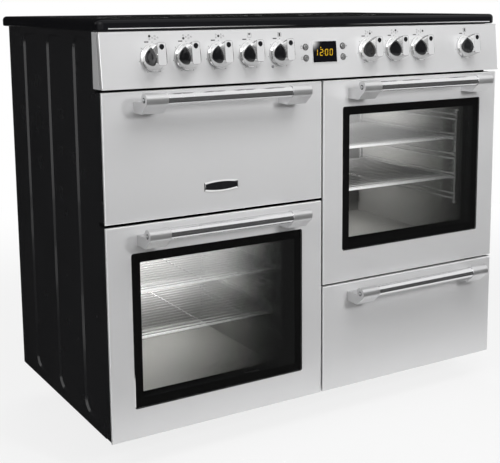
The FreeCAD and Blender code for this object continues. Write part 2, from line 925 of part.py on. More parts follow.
def handle(outline):
    middle = handle_middle(outline)
    z = handle_height(outline)
    y = door_face - handle_reach
    left = middle - handle_length / 2
    right = middle + handle_length / 2
    left_inner_end = left + handle_bracket_length
    right_inner_end = right - handle_bracket_length
    tube = rod(handle_tube_radius, point(left_inner_end - handle_tube_entry, y, z),
               point(right_inner_end + handle_tube_entry, y, z))
    shapes = [tube]
    for x0, x1, outer, inward in ((left, left_inner_end, left, 1), (right_inner_end, right, right, -1)):
        bracket = handle_bracket(x0, x1, z).cut(tube)
        screw = rod(cap_screw_radius, point(outer, y, z), point(outer + inward * cap_screw_depth, y, z))
        shapes.append(bracket.cut(screw))
        shapes.append(screw)
    return shapes


def badge_plate():
    """A plate with straight upright ends, whose long sides bow out to its full height."""
    middle = grill_bottom + badge_above_edge
    x0 = badge_place - badge_width / 2
    x1 = badge_place + badge_width / 2
    high = middle + badge_end_height / 2
    low = middle - badge_end_height / 2
    outline = Part.Wire([
        Part.Arc(point(x0, door_face, high), point(badge_place, door_face, middle + badge_height / 2),
                 point(x1, door_face, high)).toShape(),
        Part.makeLine(point(x1, door_face, high), point(x1, door_face, low)),
        Part.Arc(point(x1, door_face, low), point(badge_place, door_face, middle - badge_height / 2),
                 point(x0, door_face, low)).toShape(),
        Part.makeLine(point(x0, door_face, low), point(x0, door_face, high)),
    ])
    return Part.Face(outline).extrude(point(0, -badge_thickness, 0))


# Storage drawer

def drawer_box():
    x0, x1, z0, z1 = drawer_front
    front = door_face + drawer_skin_depth
    low = z0 + drawer_floor_lift
    high = z1 - drawer_top_drop
    box = (x0 + drawer_side, x1 - drawer_side, low, high)
    shell = slab(box, front, front + drawer_depth)
    hollow = block(box[0] + drawer_sheet, box[1] - drawer_sheet, front + drawer_sheet,
                   front + drawer_depth - drawer_sheet, low + drawer_sheet, high + overrun)
    shell = shell.cut(hollow)
    wall = slab((x0, x1, z0 + door_edge_radius, z1 - door_edge_radius), front, front + drawer_sheet)
    rims = []
    for inner, outer in ((box[0], box[0] - drawer_rim), (box[1], box[1] + drawer_rim)):
        left, right = sorted((inner, outer))
        rims.append(block(left, right, frame_back + running_gap, front + drawer_depth,
                          high - drawer_sheet, high))
    return joined([shell, wall] + rims)


def drawer_rails():
    x0, x1 = drawer_front[:2]
    high = drawer_front[3] - drawer_top_drop - drawer_sheet - running_gap
    low = high - rail_height
    back = rear_inner
    left = block(door_middle + sheet / 2, x0 + drawer_side - running_gap, frame_back, back, low, high)
    right = block(x1 - drawer_side + running_gap, channel_back, frame_back, back, low, high)
    return [left, right]


# Inside the ovens

def rung_count(outline, first):
    """How many pairs of rungs fit between the first one and the roof."""
    room = outline[3] - rung_headroom - 2 * rung_pair - first
    return int(room // rung_pitch) + 1


def side_runner(outline, first, wall):
    """One ladder of rungs on a side wall. wall is -1 for the left wall, 1 for the right."""
    wall_x = outline[1] if wall > 0 else outline[0]
    x = wall_x - wall * runner_wall_gap
    front = frame_face + runner_front
    back = oven_rear - runner_rear
    count = rung_count(outline, first)
    shapes = []
    for step in range(count):
        for lift in (0, rung_pair):
            z = first + step * rung_pitch + lift
            shapes.append(rod(rung_radius, point(x, front, z), point(x, back, z)))
    low = first - rung_pair
    high = first + (count - 1) * rung_pitch + 2 * rung_pair
    for y in (front, back):
        shapes.append(rod(post_radius, point(x, y, low), point(x, y, high)))
        for z in (low + post_radius, high - post_radius):
            shapes.append(rod(rung_radius, point(x, y, z), point(wall_x, y, z)))
    return joined(shapes)


def wire_shelf(outline, z):
    """A shelf of wires that run across, on a frame of thicker rods."""
    x0 = outline[0] + runner_wall_gap
    x1 = outline[1] - runner_wall_gap
    front = frame_face + runner_front + post_radius + shelf_rod_radius + rest_gap
    back = oven_rear - cover_depth - shelf_rear_gap - shelf_rod_radius
    shapes = [
        rod(shelf_rod_radius, point(x0, front, z), point(x0, back, z)),
        rod(shelf_rod_radius, point(x1, front, z), point(x1, back, z)),
        rod(shelf_rod_radius, point(x0, front, z), point(x1, front, z)),
        rod(shelf_rod_radius, point(x0, back, z), point(x1, back, z)),
        rod(wire_radius, point((x0 + x1) / 2, front, z - wire_radius),
            point((x0 + x1) / 2, back, z - wire_radius)),
    ]
    pitch = (back - front) / (shelf_wires + 1)
    for index in range(shelf_wires):
        y = front + (index + 1) * pitch
        shapes.append(rod(wire_radius, point(x0, y, z), point(x1, y, z)))
    return joined(shapes)


def oven_racks():
    shapes = []
    for outline, first in ((main_oven, main_first_rung), (tall_oven, tall_first_rung)):
        for wall in (-1, 1):
            shapes.append(side_runner(outline, first, wall))
        for rung in shelf_rungs:
            if rung < rung_count(outline, first):
                z = first + rung * rung_pitch + rung_radius + rest_gap + shelf_rod_radius
                shapes.append(wire_shelf(outline, z))
    for wall in (-1, 1):
        shapes.append(pan_rail(wall))
    return shapes


def pan_rail(wall):
    wall_x = grill_oven[1] if wall > 0 else grill_oven[0]
    x = wall_x - wall * runner_wall_gap
    front = frame_face + runner_front
    back = oven_rear - runner_rear
    shapes = [rod(post_radius, point(x, front, pan_rail_height), point(x, back, pan_rail_height))]
    for y in (front + post_radius, back - post_radius):
        shapes.append(rod(rung_radius, point(x, y, pan_rail_height), point(wall_x, y, pan_rail_height)))
    return joined(shapes)


def grill_pan():
    x0 = grill_oven[0] + runner_wall_gap + post_radius + pan_side_gap
    x1 = grill_oven[1] - runner_wall_gap - post_radius - pan_side_gap
    y0 = frame_face + runner_front
    y1 = y0 + pan_length
    rim_low = pan_rail_height + post_radius + rest_gap
    rim_high = rim_low + pan_sheet
    low = rim_high - pan_depth
    body = block(x0, x1, y0, y1, low, rim_high)
    body = body.cut(block(x0 + pan_sheet, x1 - pan_sheet, y0 + pan_sheet, y1 - pan_sheet,
                          low + pan_sheet, rim_high + overrun))
    rim = block(x0 - pan_rim, x1 + pan_rim, y0 - pan_rim, y1 + pan_rim, rim_low, rim_high)
    rim = rim.cut(block(x0 + pan_sheet, x1 - pan_sheet, y0 + pan_sheet, y1 - pan_sheet,
                        rim_low - overrun, rim_high + overrun))
    floor = low + pan_sheet
    inner_x0 = x0 + pan_sheet + pan_side_gap
    inner_x1 = x1 - pan_sheet - pan_side_gap
    inner_y0 = y0 + pan_sheet + pan_side_gap
    inner_y1 = y1 - pan_sheet - pan_side_gap
    z = floor + trivet_legs
    rods = [
        rod(shelf_rod_radius, point(inner_x0, inner_y0, z), point(inner_x1, inner_y0, z)),
        rod(shelf_rod_radius, point(inner_x0, inner_y1, z), point(inner_x1, inner_y1, z)),
        rod(shelf_rod_radius, point(inner_x0, inner_y0, z), point(inner_x0, inner_y1, z)),
        rod(shelf_rod_radius, point(inner_x1, inner_y0, z), point(inner_x1, inner_y1, z)),
    ]
    pitch = (inner_x1 - inner_x0) / (trivet_rods + 1)
    for index in range(trivet_rods):
        x = inner_x0 + (index + 1) * pitch
        rods.append(rod(wire_radius, point(x, inner_y0, z), point(x, inner_y1, z)))
    for x in (inner_x0, inner_x1):
        for y in (inner_y0, inner_y1):
            rods.append(rod(rung_radius, point(x, y, floor), point(x, y, z)))
    return [joined([body, rim]), joined(rods)]


def serpentine(middle, z, passes):
    """A bent tube of parallel passes front to back, with both ends at the oven's rear wall."""
    front = frame_face + element_front
    back = oven_rear - element_front / 2
    start = middle - (passes - 1) * element_pitch / 2
    bend = element_pitch / 2
    pieces = []
    for index in range(passes):
        x = start + index * element_pitch
        near_y = front + bend
        far_y = back - bend
        if index == 0 or index == passes - 1:
            far_y = oven_rear
        low_end = point(x, near_y, z)
        high_end = point(x, far_y, z)
        going_front = index % 2 == 0
        line = Part.makeLine(high_end, low_end) if going_front else Part.makeLine(low_end, high_end)
        pieces.append(line)
        if index < passes - 1:
            turn_y = near_y if going_front else far_y
            tip_y = turn_y - bend if going_front else turn_y + bend
            pieces.append(Part.Arc(point(x, turn_y, z), point(x + bend, tip_y, z),
                                   point(x + element_pitch, turn_y, z)).toShape())
    path = Part.Wire(pieces)
    ring = Part.Wire([Part.makeCircle(element_tube, point(start, oven_rear, z), point(0, -1, 0))])
    return path.makePipeShell([ring], True, True)


def element_cover():
    """A folded plate that stands on the main oven's floor, over the lower element."""
    side = oven_corner + element_cover_gap
    x0 = main_oven[0] + side
    x1 = main_oven[1] - side
    y0 = frame_back + element_cover_gap
    y1 = oven_rear - element_cover_gap
    low = main_floor + rest_gap
    hollow = block(x0 + thin_sheet, x1 - thin_sheet, y0 + thin_sheet, y1 + overrun,
                   low - overrun, element_cover_top - thin_sheet)
    return block(x0, x1, y0, y1, low, element_cover_top).cut(hollow)


def ring_element():
    x = handle_middle(tall_oven)
    y = oven_rear - cover_depth / 2
    ring = Part.makeTorus(ring_radius, ring_tube, point(x, y, fan_height), point(0, 1, 0))
    legs = []
    for leg_x in (x - ring_radius, x + ring_radius):
        legs.append(rod(ring_leg_tube, point(leg_x, y, fan_height), point(leg_x, oven_rear, fan_height)))
    return joined([ring] + legs)


def heating_elements():
    left = handle_middle(grill_oven)
    return [
        serpentine(left, grill_roof - element_drop, grill_passes),
        serpentine(left, main_roof - element_drop, oven_passes),
        serpentine(left, main_floor + element_drop, oven_passes),
        ring_element(),
    ]


def fan_cover():
    x = handle_middle(tall_oven)
    half = cover_side / 2
    outline = (x - half, x + half, fan_height - half, fan_height + half)
    front = oven_rear - cover_depth
    shell = rounded_slab(outline, front, oven_rear, oven_corner)
    shell = shell.cut(slab(grown(outline, -thin_sheet), front + thin_sheet, oven_rear + overrun))
    holes = []
    for share, count in ((cover_ring_share, cover_ring_holes), (cover_inner_share, cover_inner_holes)):
        for index in range(count):
            angle = 2 * math.pi * index / count
            hole_x = x + cover_side * share * math.cos(angle)
            hole_z = fan_height + cover_side * share * math.sin(angle)
            holes.append(rod(cover_hole, point(hole_x, front - overrun, hole_z),
                             point(hole_x, front + overrun, hole_z)))
    return shell.cut(Part.makeCompound(holes))


def oven_fan_wheel():
    x = handle_middle(tall_oven)
    front = oven_rear - cover_depth + thin_sheet + fan_front_gap
    back = front + fan_blade_width + fan_disc
    disc = rod(fan_radius, point(x, back - fan_disc, fan_height), point(x, back, fan_height))
    hub = rod(fan_hub_radius, point(x, front, fan_height), point(x, back, fan_height))
    shaft = rod(fan_shaft_radius, point(x, front, fan_height),
                point(x, lagging_rear + motor_depth / 2, fan_height))
    shapes = [disc, hub, shaft]
    for index in range(fan_blades):
        blade = block(x - fan_blade / 2, x + fan_blade / 2, front, back,
                      fan_height + fan_hub_radius / 2, fan_height + fan_radius)
        blade.rotate(point(x, front, fan_height), point(0, 1, 0), 360 * index / fan_blades)
        shapes.append(blade)
    return joined(shapes)


def oven_fan_motor():
    x = handle_middle(tall_oven)
    body = rod(motor_radius, point(x, lagging_rear, fan_height),
               point(x, lagging_rear + motor_depth, fan_height))
    bore = rod(fan_shaft_radius + pin_gap, point(x, lagging_rear - overrun, fan_height),
               point(x, lagging_rear + motor_depth / 2 + running_gap, fan_height))
    return body.cut(bore)


def oven_lamps():
    lamps = []
    for outline in (main_oven, tall_oven):
        x = outline[0] + lamp_inset
        z = outline[3] - lamp_inset
        lens = rod(lamp_radius, point(x, oven_rear - lamp_depth, z), point(x, oven_rear, z))
        front = oven_rear - lamp_depth
        lamps.append(lens.makeFillet(lamp_depth / 3, edges_where(lens, lambda p: near(p.y, front))))
    return lamps


# Cooling blower, on the deck above the ovens

def blower_centre():
    radius = blower_radius + blower_gap
    return frame_back + blower_setback + radius, deck_height + sheet + blower_plate + radius


def blower_wheel():
    y, z = blower_centre()
    half = blower_length / 2
    shapes = []
    for side in (-1, 1):
        shapes.append(rod(blower_radius, point(side * half, y, z), point(side * (half - blower_plate), y, z)))
    reach = half + running_gap + blower_plate + blower_stub
    shapes.append(rod(blower_shaft_radius, point(-reach, y, z), point(reach, y, z)))
    for index in range(blower_blades):
        blade = block(-half, half, y - blower_blade / 2, y + blower_blade / 2,
                      z + blower_radius * blower_blade_share, z + blower_radius)
        blade.rotate(point(0, y, z), point(1, 0, 0), 360 * index / blower_blades)
        shapes.append(blade)
    return joined(shapes)


def blower_housing():
    y, z = blower_centre()
    inner = blower_radius + blower_gap
    half = blower_length / 2 + running_gap
    low = deck_height + sheet
    outer = block(-half - blower_plate, half + blower_plate,
                  y - inner - blower_plate, y + inner + blower_plate, low, z + inner)
    hollow = block(-half, half, y - inner, y + inner, low + blower_plate, z + inner + overrun)
    bore = rod(blower_shaft_radius + pin_gap, point(-half - blower_plate - overrun, y, z),
               point(half + blower_plate + overrun, y, z))
    return outer.cut(hollow).cut(bore)


def all_nodes():
    tall_window = door_window(tall_door, tall_window_top, tall_window_bottom)
    main_window = door_window(main_door, main_window_top, main_window_bottom)
    fan_shaft = (handle_middle(tall_oven), fan_height)
    nodes = {
        "side_panel_left": [side_panel(-1)],
        "side_panel_right": [side_panel(1)],
        "rear_panel": [rear_panel()],
        "base_pan": [base_pan()],
        "adjustable_feet": [adjustable_foot(x, y) for x, y in feet_places()],
        "front_frame": [front_frame()],
        "inner_partitions": inner_partitions(),
        "grill_cavity": [oven_box(grill_oven)],
        "main_oven_cavity": [oven_box(main_oven), element_cover()],
        "tall_oven_cavity": [oven_box(tall_oven, fan_shaft)],
        "cavity_lagging": [
            lagging_box(grill_oven),
            lagging_box(main_oven),
            lagging_box(tall_oven, fan_shaft),
        ],
        "cavity_seals": [oven_seal(outline) for outline in (grill_oven, main_oven, tall_oven)],
        "hob_frame": [hob_frame()],
        "hob_glass": [hob_glass()],
        "hob_tray": [hob_tray()],
        "radiant_elements": radiant_elements(),
        "control_fascia": [control_fascia(), fascia_end_cap(-1), fascia_end_cap(1)],
        "clock_lens": [clock_lens()],
        "neon_lens": [neon_lens()],
        "control_switches": [switch_body(across) for across in knob_places().values()] + [clock_module()],
        "blower_housing": [blower_housing()],
        "blower_wheel": [blower_wheel()],
        "fan_cover": [fan_cover()],
        "oven_fan_wheel": [oven_fan_wheel()],
        "oven_fan_motor": [oven_fan_motor()],
        "heating_elements": heating_elements(),
        "oven_racks": oven_racks(),
        "grill_pan": grill_pan(),
        "oven_lamps": oven_lamps(),
        "door_hinge_pins": hinge_pins(grill_door) + hinge_pins(main_door) + hinge_pins(tall_door),
        "drawer_rails": drawer_rails(),
        "terminal_cover": [terminal_cover()],
        "grill_door_panel": [door_panel(grill_door, door_skin_depth)],
        "grill_door_liner": [door_liner(grill_door)],
        "grill_door_handle": handle(grill_door),
        "badge_plate": [badge_plate()],
        "main_door_panel": [door_panel(main_door, door_skin_depth, main_window)],
        "main_door_liner": [door_liner(main_door, main_window)],
        "main_door_panes": door_panes(main_window),
        "main_door_handle": handle(main_door),
        "tall_door_panel": [door_panel(tall_door, door_skin_depth, tall_window)],
        "tall_door_liner": [door_liner(tall_door, tall_window)],
        "tall_door_panes": door_panes(tall_window),
        "tall_door_handle": handle(tall_door),
        "drawer_front": [door_panel(drawer_front, drawer_skin_depth, hinged=False)],
        "drawer_box": [drawer_box()],
        "drawer_handle": handle(drawer_front),
    }
    for name, across in knob_places().items():
        nodes["knob_" + name] = [knob(across)]
    for side, across in (("left", clock_middle - button_offset), ("right", clock_middle + button_offset)):
        for level, row in (("lower", button_rows[0]), ("upper", button_rows[1])):
            nodes[f"button_{side}_{level}"] = [button(across, row)]
    return nodes


def main():
    os.makedirs("parts", exist_ok=True)
    for name, solids in all_nodes().items():
        shape = solids[0] if len(solids) == 1 else Part.makeCompound(solids)
        shape.exportStep("parts/" + name + ".step")
        box = shape.BoundBox
        print(f"{name:20s} solids {len(shape.Solids):3d} valid {shape.isValid()} "
              f"x {box.XMin:7.1f} {box.XMax:7.1f} y {box.YMin:7.1f} {box.YMax:7.1f} "
              f"z {box.ZMin:6.1f} {box.ZMax:6.1f}")


main()
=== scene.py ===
import json
import math

import bmesh
import bpy
from mathutils import Matrix, Vector


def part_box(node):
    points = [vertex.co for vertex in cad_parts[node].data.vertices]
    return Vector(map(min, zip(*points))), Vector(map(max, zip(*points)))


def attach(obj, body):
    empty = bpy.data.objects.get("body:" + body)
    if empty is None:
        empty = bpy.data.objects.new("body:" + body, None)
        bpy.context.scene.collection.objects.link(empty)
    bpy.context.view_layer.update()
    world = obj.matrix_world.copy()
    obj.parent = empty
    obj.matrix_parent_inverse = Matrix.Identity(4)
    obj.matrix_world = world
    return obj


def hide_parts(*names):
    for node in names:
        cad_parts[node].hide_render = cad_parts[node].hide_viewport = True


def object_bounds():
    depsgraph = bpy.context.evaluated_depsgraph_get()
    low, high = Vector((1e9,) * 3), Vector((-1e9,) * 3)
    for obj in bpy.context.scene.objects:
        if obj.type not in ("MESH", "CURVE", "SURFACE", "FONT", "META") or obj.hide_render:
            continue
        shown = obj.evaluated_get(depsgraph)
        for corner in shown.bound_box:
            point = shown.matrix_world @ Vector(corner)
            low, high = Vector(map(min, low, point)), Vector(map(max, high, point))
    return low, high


# An electric range cooker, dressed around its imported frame. Metres, in the frame's own
# axes: +X to the right, -Y towards the cook, +Z up, floor at zero.

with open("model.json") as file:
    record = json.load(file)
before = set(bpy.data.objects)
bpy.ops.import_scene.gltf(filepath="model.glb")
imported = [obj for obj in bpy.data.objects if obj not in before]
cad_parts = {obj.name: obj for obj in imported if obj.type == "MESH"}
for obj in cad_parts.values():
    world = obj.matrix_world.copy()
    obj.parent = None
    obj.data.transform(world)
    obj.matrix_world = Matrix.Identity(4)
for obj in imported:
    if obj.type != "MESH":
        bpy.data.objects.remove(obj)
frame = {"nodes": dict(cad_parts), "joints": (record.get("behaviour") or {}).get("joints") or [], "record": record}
cad_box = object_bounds()
nodes = frame["nodes"]
joints = {joint["child"]: joint for joint in frame["joints"]}

mm = 0.001
half_share = 0.5
merge_distance = 0.01 * mm
round_steps = 40
corner_steps = 8

# The photograph's frame and the camera that fits it, turned in degrees
picture_width_px = 500
picture_height_px = 463
axis_px = (275.0, 160.0)
focal_px = 989.6
camera_place = (-1.1967, -1.9921, 0.930)
camera_yaw = 31.99
camera_pitch = 9.07
camera_roll = -0.28

# Lamps: power in watts, size and place in metres
studio_lamps = {
    "key_lamp": dict(power=21.0, size=(0.28, 0.28), place=(0.25, -2.0, 1.22), in_gloss=False),
    "top_lamp": dict(power=15.5, size=(1.0, 0.6), place=(0.0, -1.15, 1.8), in_gloss=False),
    "fill_lamp": dict(power=28.0, size=(1.6, 1.6), place=(-2.3, -1.3, 1.9), in_gloss=True),
    "back_lamp": dict(power=45.0, size=(2.0, 1.2), place=(0.6, 2.4, 2.3), in_gloss=False),
}
aim_point = (0.0, 0.0, 0.5)
oven_lamp_colour = (1.0, 0.99, 0.97)
oven_lamp_size = 0.03
oven_lamps = {
    "main_oven_cavity": dict(power=11.0, across_share=0.5, setback=0.12, drop=0.08),
    "tall_oven_cavity": dict(power=8.0, across_share=0.2, setback=0.14, drop=0.14),
}

# How strongly the studio lights the part, and how bright it looks
ambient_level = 0.4
white_level = 1.0

# Floor: its share of pure white near the part, rising to all of it between two distances
floor_reach = 30.0
floor_colour = (0.55, 0.55, 0.55, 1)
near_white_share = 0.8
fade_start = 1.0
fade_end = 2.4

# Dark cards that only show in reflections: two corners of each, and the upright ones' height
card_level = 0.012
card_lift = 0.002
floor_cards = (((-3.0, -8.0), (9.0, -0.52)), ((-9.0, -0.34), (-0.5, 12.0)))
upright_cards = (
    ((-2.0, -8.0), (12.0, -8.0), 4.6), ((-3.0, 3.2), (9.0, 3.2), 7.0), ((-8.0, 0.5), (-8.0, 12.0), 2.6),
)

# Finishes: where most of a noise's values lie, its octaves, and the depths of relief
noise_span = (0.3, 0.7)
noise_detail = 3.0
fine_relief = 0.2 * mm
light_relief = 0.3 * mm
fibre_relief = 0.5 * mm
wool_relief = 1.5 * mm

# Window glass: its clear field, the painted shade that makes it more opaque towards the right, and the painted
# reflection that glows at its top left
clear_inset = 17.0 * mm
clear_corner = 3.0 * mm
clear_share = 0.04
painted_shade_shares = {"main_door_panes": 0.86, "tall_door_panes": 0.55}
painted_shade_power = 2.0
painted_reflection_power = 3.0
painted_reflection_glow = 2.7

# Oven wires: where their painted highlight at the front turns to painted shade behind, front to back, and how much
# the painted glow at the bright front end shines
wire_painted_shade_span = (-222.0 * mm, -150.0 * mm)
wire_painted_glow = 0.5

# The body that each front and each handle rides on, and the front round each window's panes
front_bodies = {
    "grill_door_panel": "grill_door", "main_door_panel": "main_oven_door",
    "tall_door_panel": "tall_oven_door", "drawer_front": "storage_drawer",
}
handle_bodies = {
    "grill_door_handle": "grill_door", "main_door_handle": "main_oven_door",
    "tall_door_handle": "tall_oven_door", "drawer_handle": "storage_drawer",
}
window_fronts = {"main_door_panes": "main_door_panel", "tall_door_panes": "tall_door_panel"}

# Knobs, measured out of the fascia, up its slope and across it: the grip's waist, its face and its pointer
knob_waist = 10.0 * mm
knob_face = 41.0 * mm
waist_grip = dict(width=46.0 * mm, length=50.0 * mm, corner=22.0 * mm, rise=0.0)
face_grip = dict(width=18.0 * mm, length=44.0 * mm, corner=5.5 * mm, rise=4.5 * mm)
face_margin = 1.4 * mm
dot_place = 18.0 * mm
dot_radius = 5.1 * mm
dot_tail = 6.0 * mm
dot_lift = 0.2 * mm

# The pad in each flank of a knob, and how far its rings stand out of the flank, from its middle outwards
inlay_half_height = 17.9 * mm
inlay_reach = 16.0 * mm
inlay_rise = 0.6 * mm
inlay_point_power = 0.5
inlay_low = 0.35 * mm
inlay_high = 0.9 * mm
inlay_sunk = -0.4 * mm
inlay_ring_shares = (0.0, 0.4, 0.7, 0.8, 0.87, 0.94, 1.0)
inlay_ring_lifts = (inlay_low, inlay_low, inlay_low, inlay_high, inlay_high, inlay_high, inlay_sunk)

# Marks printed on the fascia round a knob
print_lift = 0.1 * mm
dash_length = 9.0 * mm
dash_width = 2.1 * mm
dash_place = (-12.0 * mm, 30.0 * mm)
spot_count = 7
spot_radius = 0.8 * mm
spot_reach = 29.5 * mm
map_row = 38.0 * mm
map_shift = 0.6 * mm
map_pitch = 5.6 * mm
map_dot = 2.5 * mm
map_ring = 1.6 * mm
map_line = 0.45 * mm
square_side = 9.0 * mm

# Which zone of the map each hob knob heats, the map's places by column and row, and the ovens' fills
hob_knobs = {
    "knob_rear_left": 0, "knob_front_left": 1, "knob_centre": 2,
    "knob_rear_right": 3, "knob_front_right": 4, "knob_warming": 5,
}
map_places = ((-1, 1), (-1, -1), (0, 0), (1, 1), (1, -1), (2, 0))
oven_fill_shares = {
    "knob_grill": (0.55, 0.95), "knob_main_oven": (0.1, 0.9), "knob_tall_oven": (0.1, 0.9),
}

# Buttons: the marks beside them and the rings round them
button_mark_gap = 9.5 * mm
button_mark_size = 3.2 * mm
button_ring = 6.9 * mm
button_ring_width = 1.2 * mm
button_ring_height = 0.8 * mm

# Bright lines of painted highlight: at both ends of the fascia's face, and inside the outlines of the doors and
# drawer
edge_line = 1.0 * mm
edge_margin = 3.0 * mm
door_line = 0.8 * mm
door_line_inset = 0.6 * mm

# Clock: its rim and lens, measured out of the fascia, and its digits from the lens's middle
clock_rim = 1.3 * mm
clock_rim_lift = 1.9 * mm
clock_glass = 1.6 * mm
# Painted reflection on the lens: how far its pale glint reaches from the top left corner, and how fast it fades
painted_glint_reach = 24.0 * mm
painted_glint_power = 2.0
digit_width = 6.2 * mm
digit_height = 12.4 * mm
digit_bar = 1.15 * mm
digit_drop = 1.3 * mm
digit_lean_share = 0.08
shown_digits = (("1", -22.0 * mm), ("2", -8.7 * mm), ("0", 4.3 * mm), ("0", 16.4 * mm))
digit_segments = {"0": "abcdef", "1": "bc", "2": "abged"}
segment_end_shares = {
    "a": ((0, 1), (1, 1)), "b": ((1, 1), (1, 0.5)), "c": ((1, 0.5), (1, 0)), "d": ((0, 0), (1, 0)),
    "e": ((0, 0), (0, 0.5)), "f": ((0, 0.5), (0, 1)), "g": ((0, 0.5), (1, 0.5)),
}
colon_place = -2.2 * mm
colon_radius = 0.7 * mm
colon_shares = (-0.2, 0.2)
bell_place = (-10.0 * mm, 10.5 * mm)
bell_size = 1.5 * mm

# Badge: a bare black plate in a bright frame with bowed long sides
badge_width = 78.0 * mm
badge_end = 17.0 * mm
badge_middle = 23.5 * mm
badge_rim = 3.2 * mm
badge_front = 2.4 * mm
badge_plate = 1.4 * mm
badge_steps = 16

# Beads round the windows
rim_width = 1.8 * mm
rim_height = 0.7 * mm
rim_edge = 0.1 * mm

# Zones printed on the hob: radii, places across as shares of the cooker's width, and the rows' distance
zone_line = 2.0 * mm
zone_gap = 5.0 * mm
zone_lift = 0.1 * mm
small_zone = 72.5 * mm
large_zone = 90.0 * mm
dual_zone = 105.0 * mm
left_zone_share = -0.35
middle_zone_share = -0.09
right_zone_share = 0.17
warming_zone_share = 0.385
zone_row = 115.0 * mm
warming_size = (100.0 * mm, 300.0 * mm)
warming_corner = 20.0 * mm

# Bead along the hob's lower front edge, carrying a painted highlight
highlight_bead_margin = 20.0 * mm
highlight_bead_row = 4.5 * mm
highlight_bead_height = 1.7 * mm
highlight_bead_proud = 0.5 * mm
highlight_bead_dark_reach = 60.0 * mm
highlight_bead_bright_reach = 420.0 * mm

# Screws
screw_radius = 4.0 * mm
screw_crown_share = 0.7
screw_steps = 20
screw_height = 1.8 * mm
screw_slot = 0.9 * mm
screw_margin = 14.0 * mm
screw_pitch = 190.0 * mm

# Handles: how long their end brackets are, and the screw on each end with a dark disc of painted shade under it
bracket_length = 45.0 * mm
barrel_radius = 13.0 * mm
recess_shade_radius = 5.2 * mm
cap_screw_share = 0.8


# Node helpers

class Finish:
    """A procedural material around one Principled shader, in the part's own coordinates."""

    def __init__(self, name, colour, roughness, metallic=0.0, coat=0.0):
        self.material = bpy.data.materials.new(name)
        self.material.use_nodes = True
        self.tree = self.material.node_tree
        self.shader = self.tree.nodes["Principled BSDF"]
        self.set("Base Color", (*colour, 1))
        self.set("Roughness", roughness)
        self.set("Metallic", metallic)
        self.set("Coat Weight", coat)
        self.place = self.node("ShaderNodeTexCoord").outputs["Object"]

    def set(self, socket, value):
        self.shader.inputs[socket].default_value = value

    def node(self, kind, **settings):
        made = self.tree.nodes.new(kind)
        for key, value in settings.items():
            setattr(made, key, value)
        return made

    def link(self, output, socket):
        self.tree.links.new(output, socket)

    def drive(self, socket, output):
        self.link(output, self.shader.inputs[socket])

    def along(self, axis):
        """The place along one of the part's axes."""
        split = self.node("ShaderNodeSeparateXYZ")
        self.link(self.place, split.inputs[0])
        return split.outputs[axis]

    def noise(self, scale, detail=noise_detail):
        texture = self.node("ShaderNodeTexNoise")
        texture.inputs["Scale"].default_value = scale
        texture.inputs["Detail"].default_value = detail
        self.link(self.place, texture.inputs["Vector"])
        return texture.outputs["Fac"]

    def cells(self, scale):
        texture = self.node("ShaderNodeTexVoronoi")
        texture.inputs["Scale"].default_value = scale
        self.link(self.place, texture.inputs["Vector"])
        return texture.outputs["Color"]

    def between(self, factor, low, high, start=0.0, end=1.0):
        """A factor that runs from start to end, laid over low to high."""
        ramp = self.node("ShaderNodeMapRange")
        for socket, value in zip(("From Min", "From Max", "To Min", "To Max"), (start, end, low, high)):
            ramp.inputs[socket].default_value = value
        self.link(factor, ramp.inputs["Value"])
        return ramp.outputs["Result"]

    def step(self, operation, first, second=0.0):
        made = self.node("ShaderNodeMath", operation=operation)
        for socket, value in zip(made.inputs, (first, second)):
            if isinstance(value, float):
                socket.default_value = value
            else:
                self.link(value, socket)
        return made.outputs["Value"]

    def vector(self, operation, first, second=(0, 0, 0), output="Vector"):
        made = self.node("ShaderNodeVectorMath", operation=operation)
        self.link(first, made.inputs[0])
        made.inputs[1].default_value = second
        return made.outputs[output]

    def tint(self, factor, first, second):
        """A colour between two, by a factor."""
        mix = self.node("ShaderNodeMix", data_type="RGBA")
        mix.inputs["A"].default_value = (*first, 1)
        mix.inputs["B"].default_value = (*second, 1)
        self.link(factor, mix.inputs["Factor"])
        self.drive("Base Color", mix.outputs["Result"])

    def scuff(self, scale, low, high):
        """A roughness that wanders between two values, with so many waves per metre."""
        self.drive("Roughness", self.between(self.noise(scale), low, high, *noise_span))

    def grain(self, scale, strength, depth, detail=noise_detail):
        """A fine relief, with so many waves per metre."""
        relief = self.node("ShaderNodeBump")
        relief.inputs["Strength"].default_value = strength
        relief.inputs["Distance"].default_value = depth
        self.link(self.noise(scale, detail), relief.inputs["Height"])
        self.drive("Normal", relief.outputs["Normal"])


# Materials

def silver_paint():
    finish = Finish("silver_paint", (0.66, 0.66, 0.665), roughness=0.36, metallic=0.45)
    finish.tint(finish.noise(scale=2600.0, detail=2.0), (0.63, 0.63, 0.635), (0.69, 0.69, 0.695))
    finish.scuff(scale=9.0, low=0.33, high=0.39)
    finish.grain(scale=420.0, strength=0.05, depth=fine_relief)
    return finish.material


def black_enamel():
    finish = Finish("black_enamel", (0.012, 0.012, 0.013), roughness=0.22, coat=0.3)
    finish.tint(finish.noise(scale=5.0), (0.010, 0.010, 0.011), (0.016, 0.016, 0.017))
    finish.scuff(scale=14.0, low=0.18, high=0.28)
    finish.grain(scale=260.0, strength=0.08, depth=light_relief)
    return finish.material


def hob_enamel():
    finish = Finish("hob_enamel", (0.006, 0.006, 0.007), roughness=0.08)
    finish.set("Specular IOR Level", 0.1)
    finish.scuff(scale=24.0, low=0.05, high=0.11)
    return finish.material


def galvanised_steel():
    finish = Finish("galvanised_steel", (0.5, 0.51, 0.52), roughness=0.38, metallic=1.0)
    finish.tint(finish.cells(scale=120.0), (0.40, 0.41, 0.42), (0.60, 0.61, 0.62))
    finish.scuff(scale=30.0, low=0.3, high=0.48)
    return finish.material


def oven_enamel():
    finish = Finish("oven_enamel", (0.16, 0.16, 0.155), roughness=0.5)
    finish.tint(finish.noise(scale=900.0, detail=1.0), (0.15, 0.15, 0.145), (0.17, 0.17, 0.165))
    return finish.material


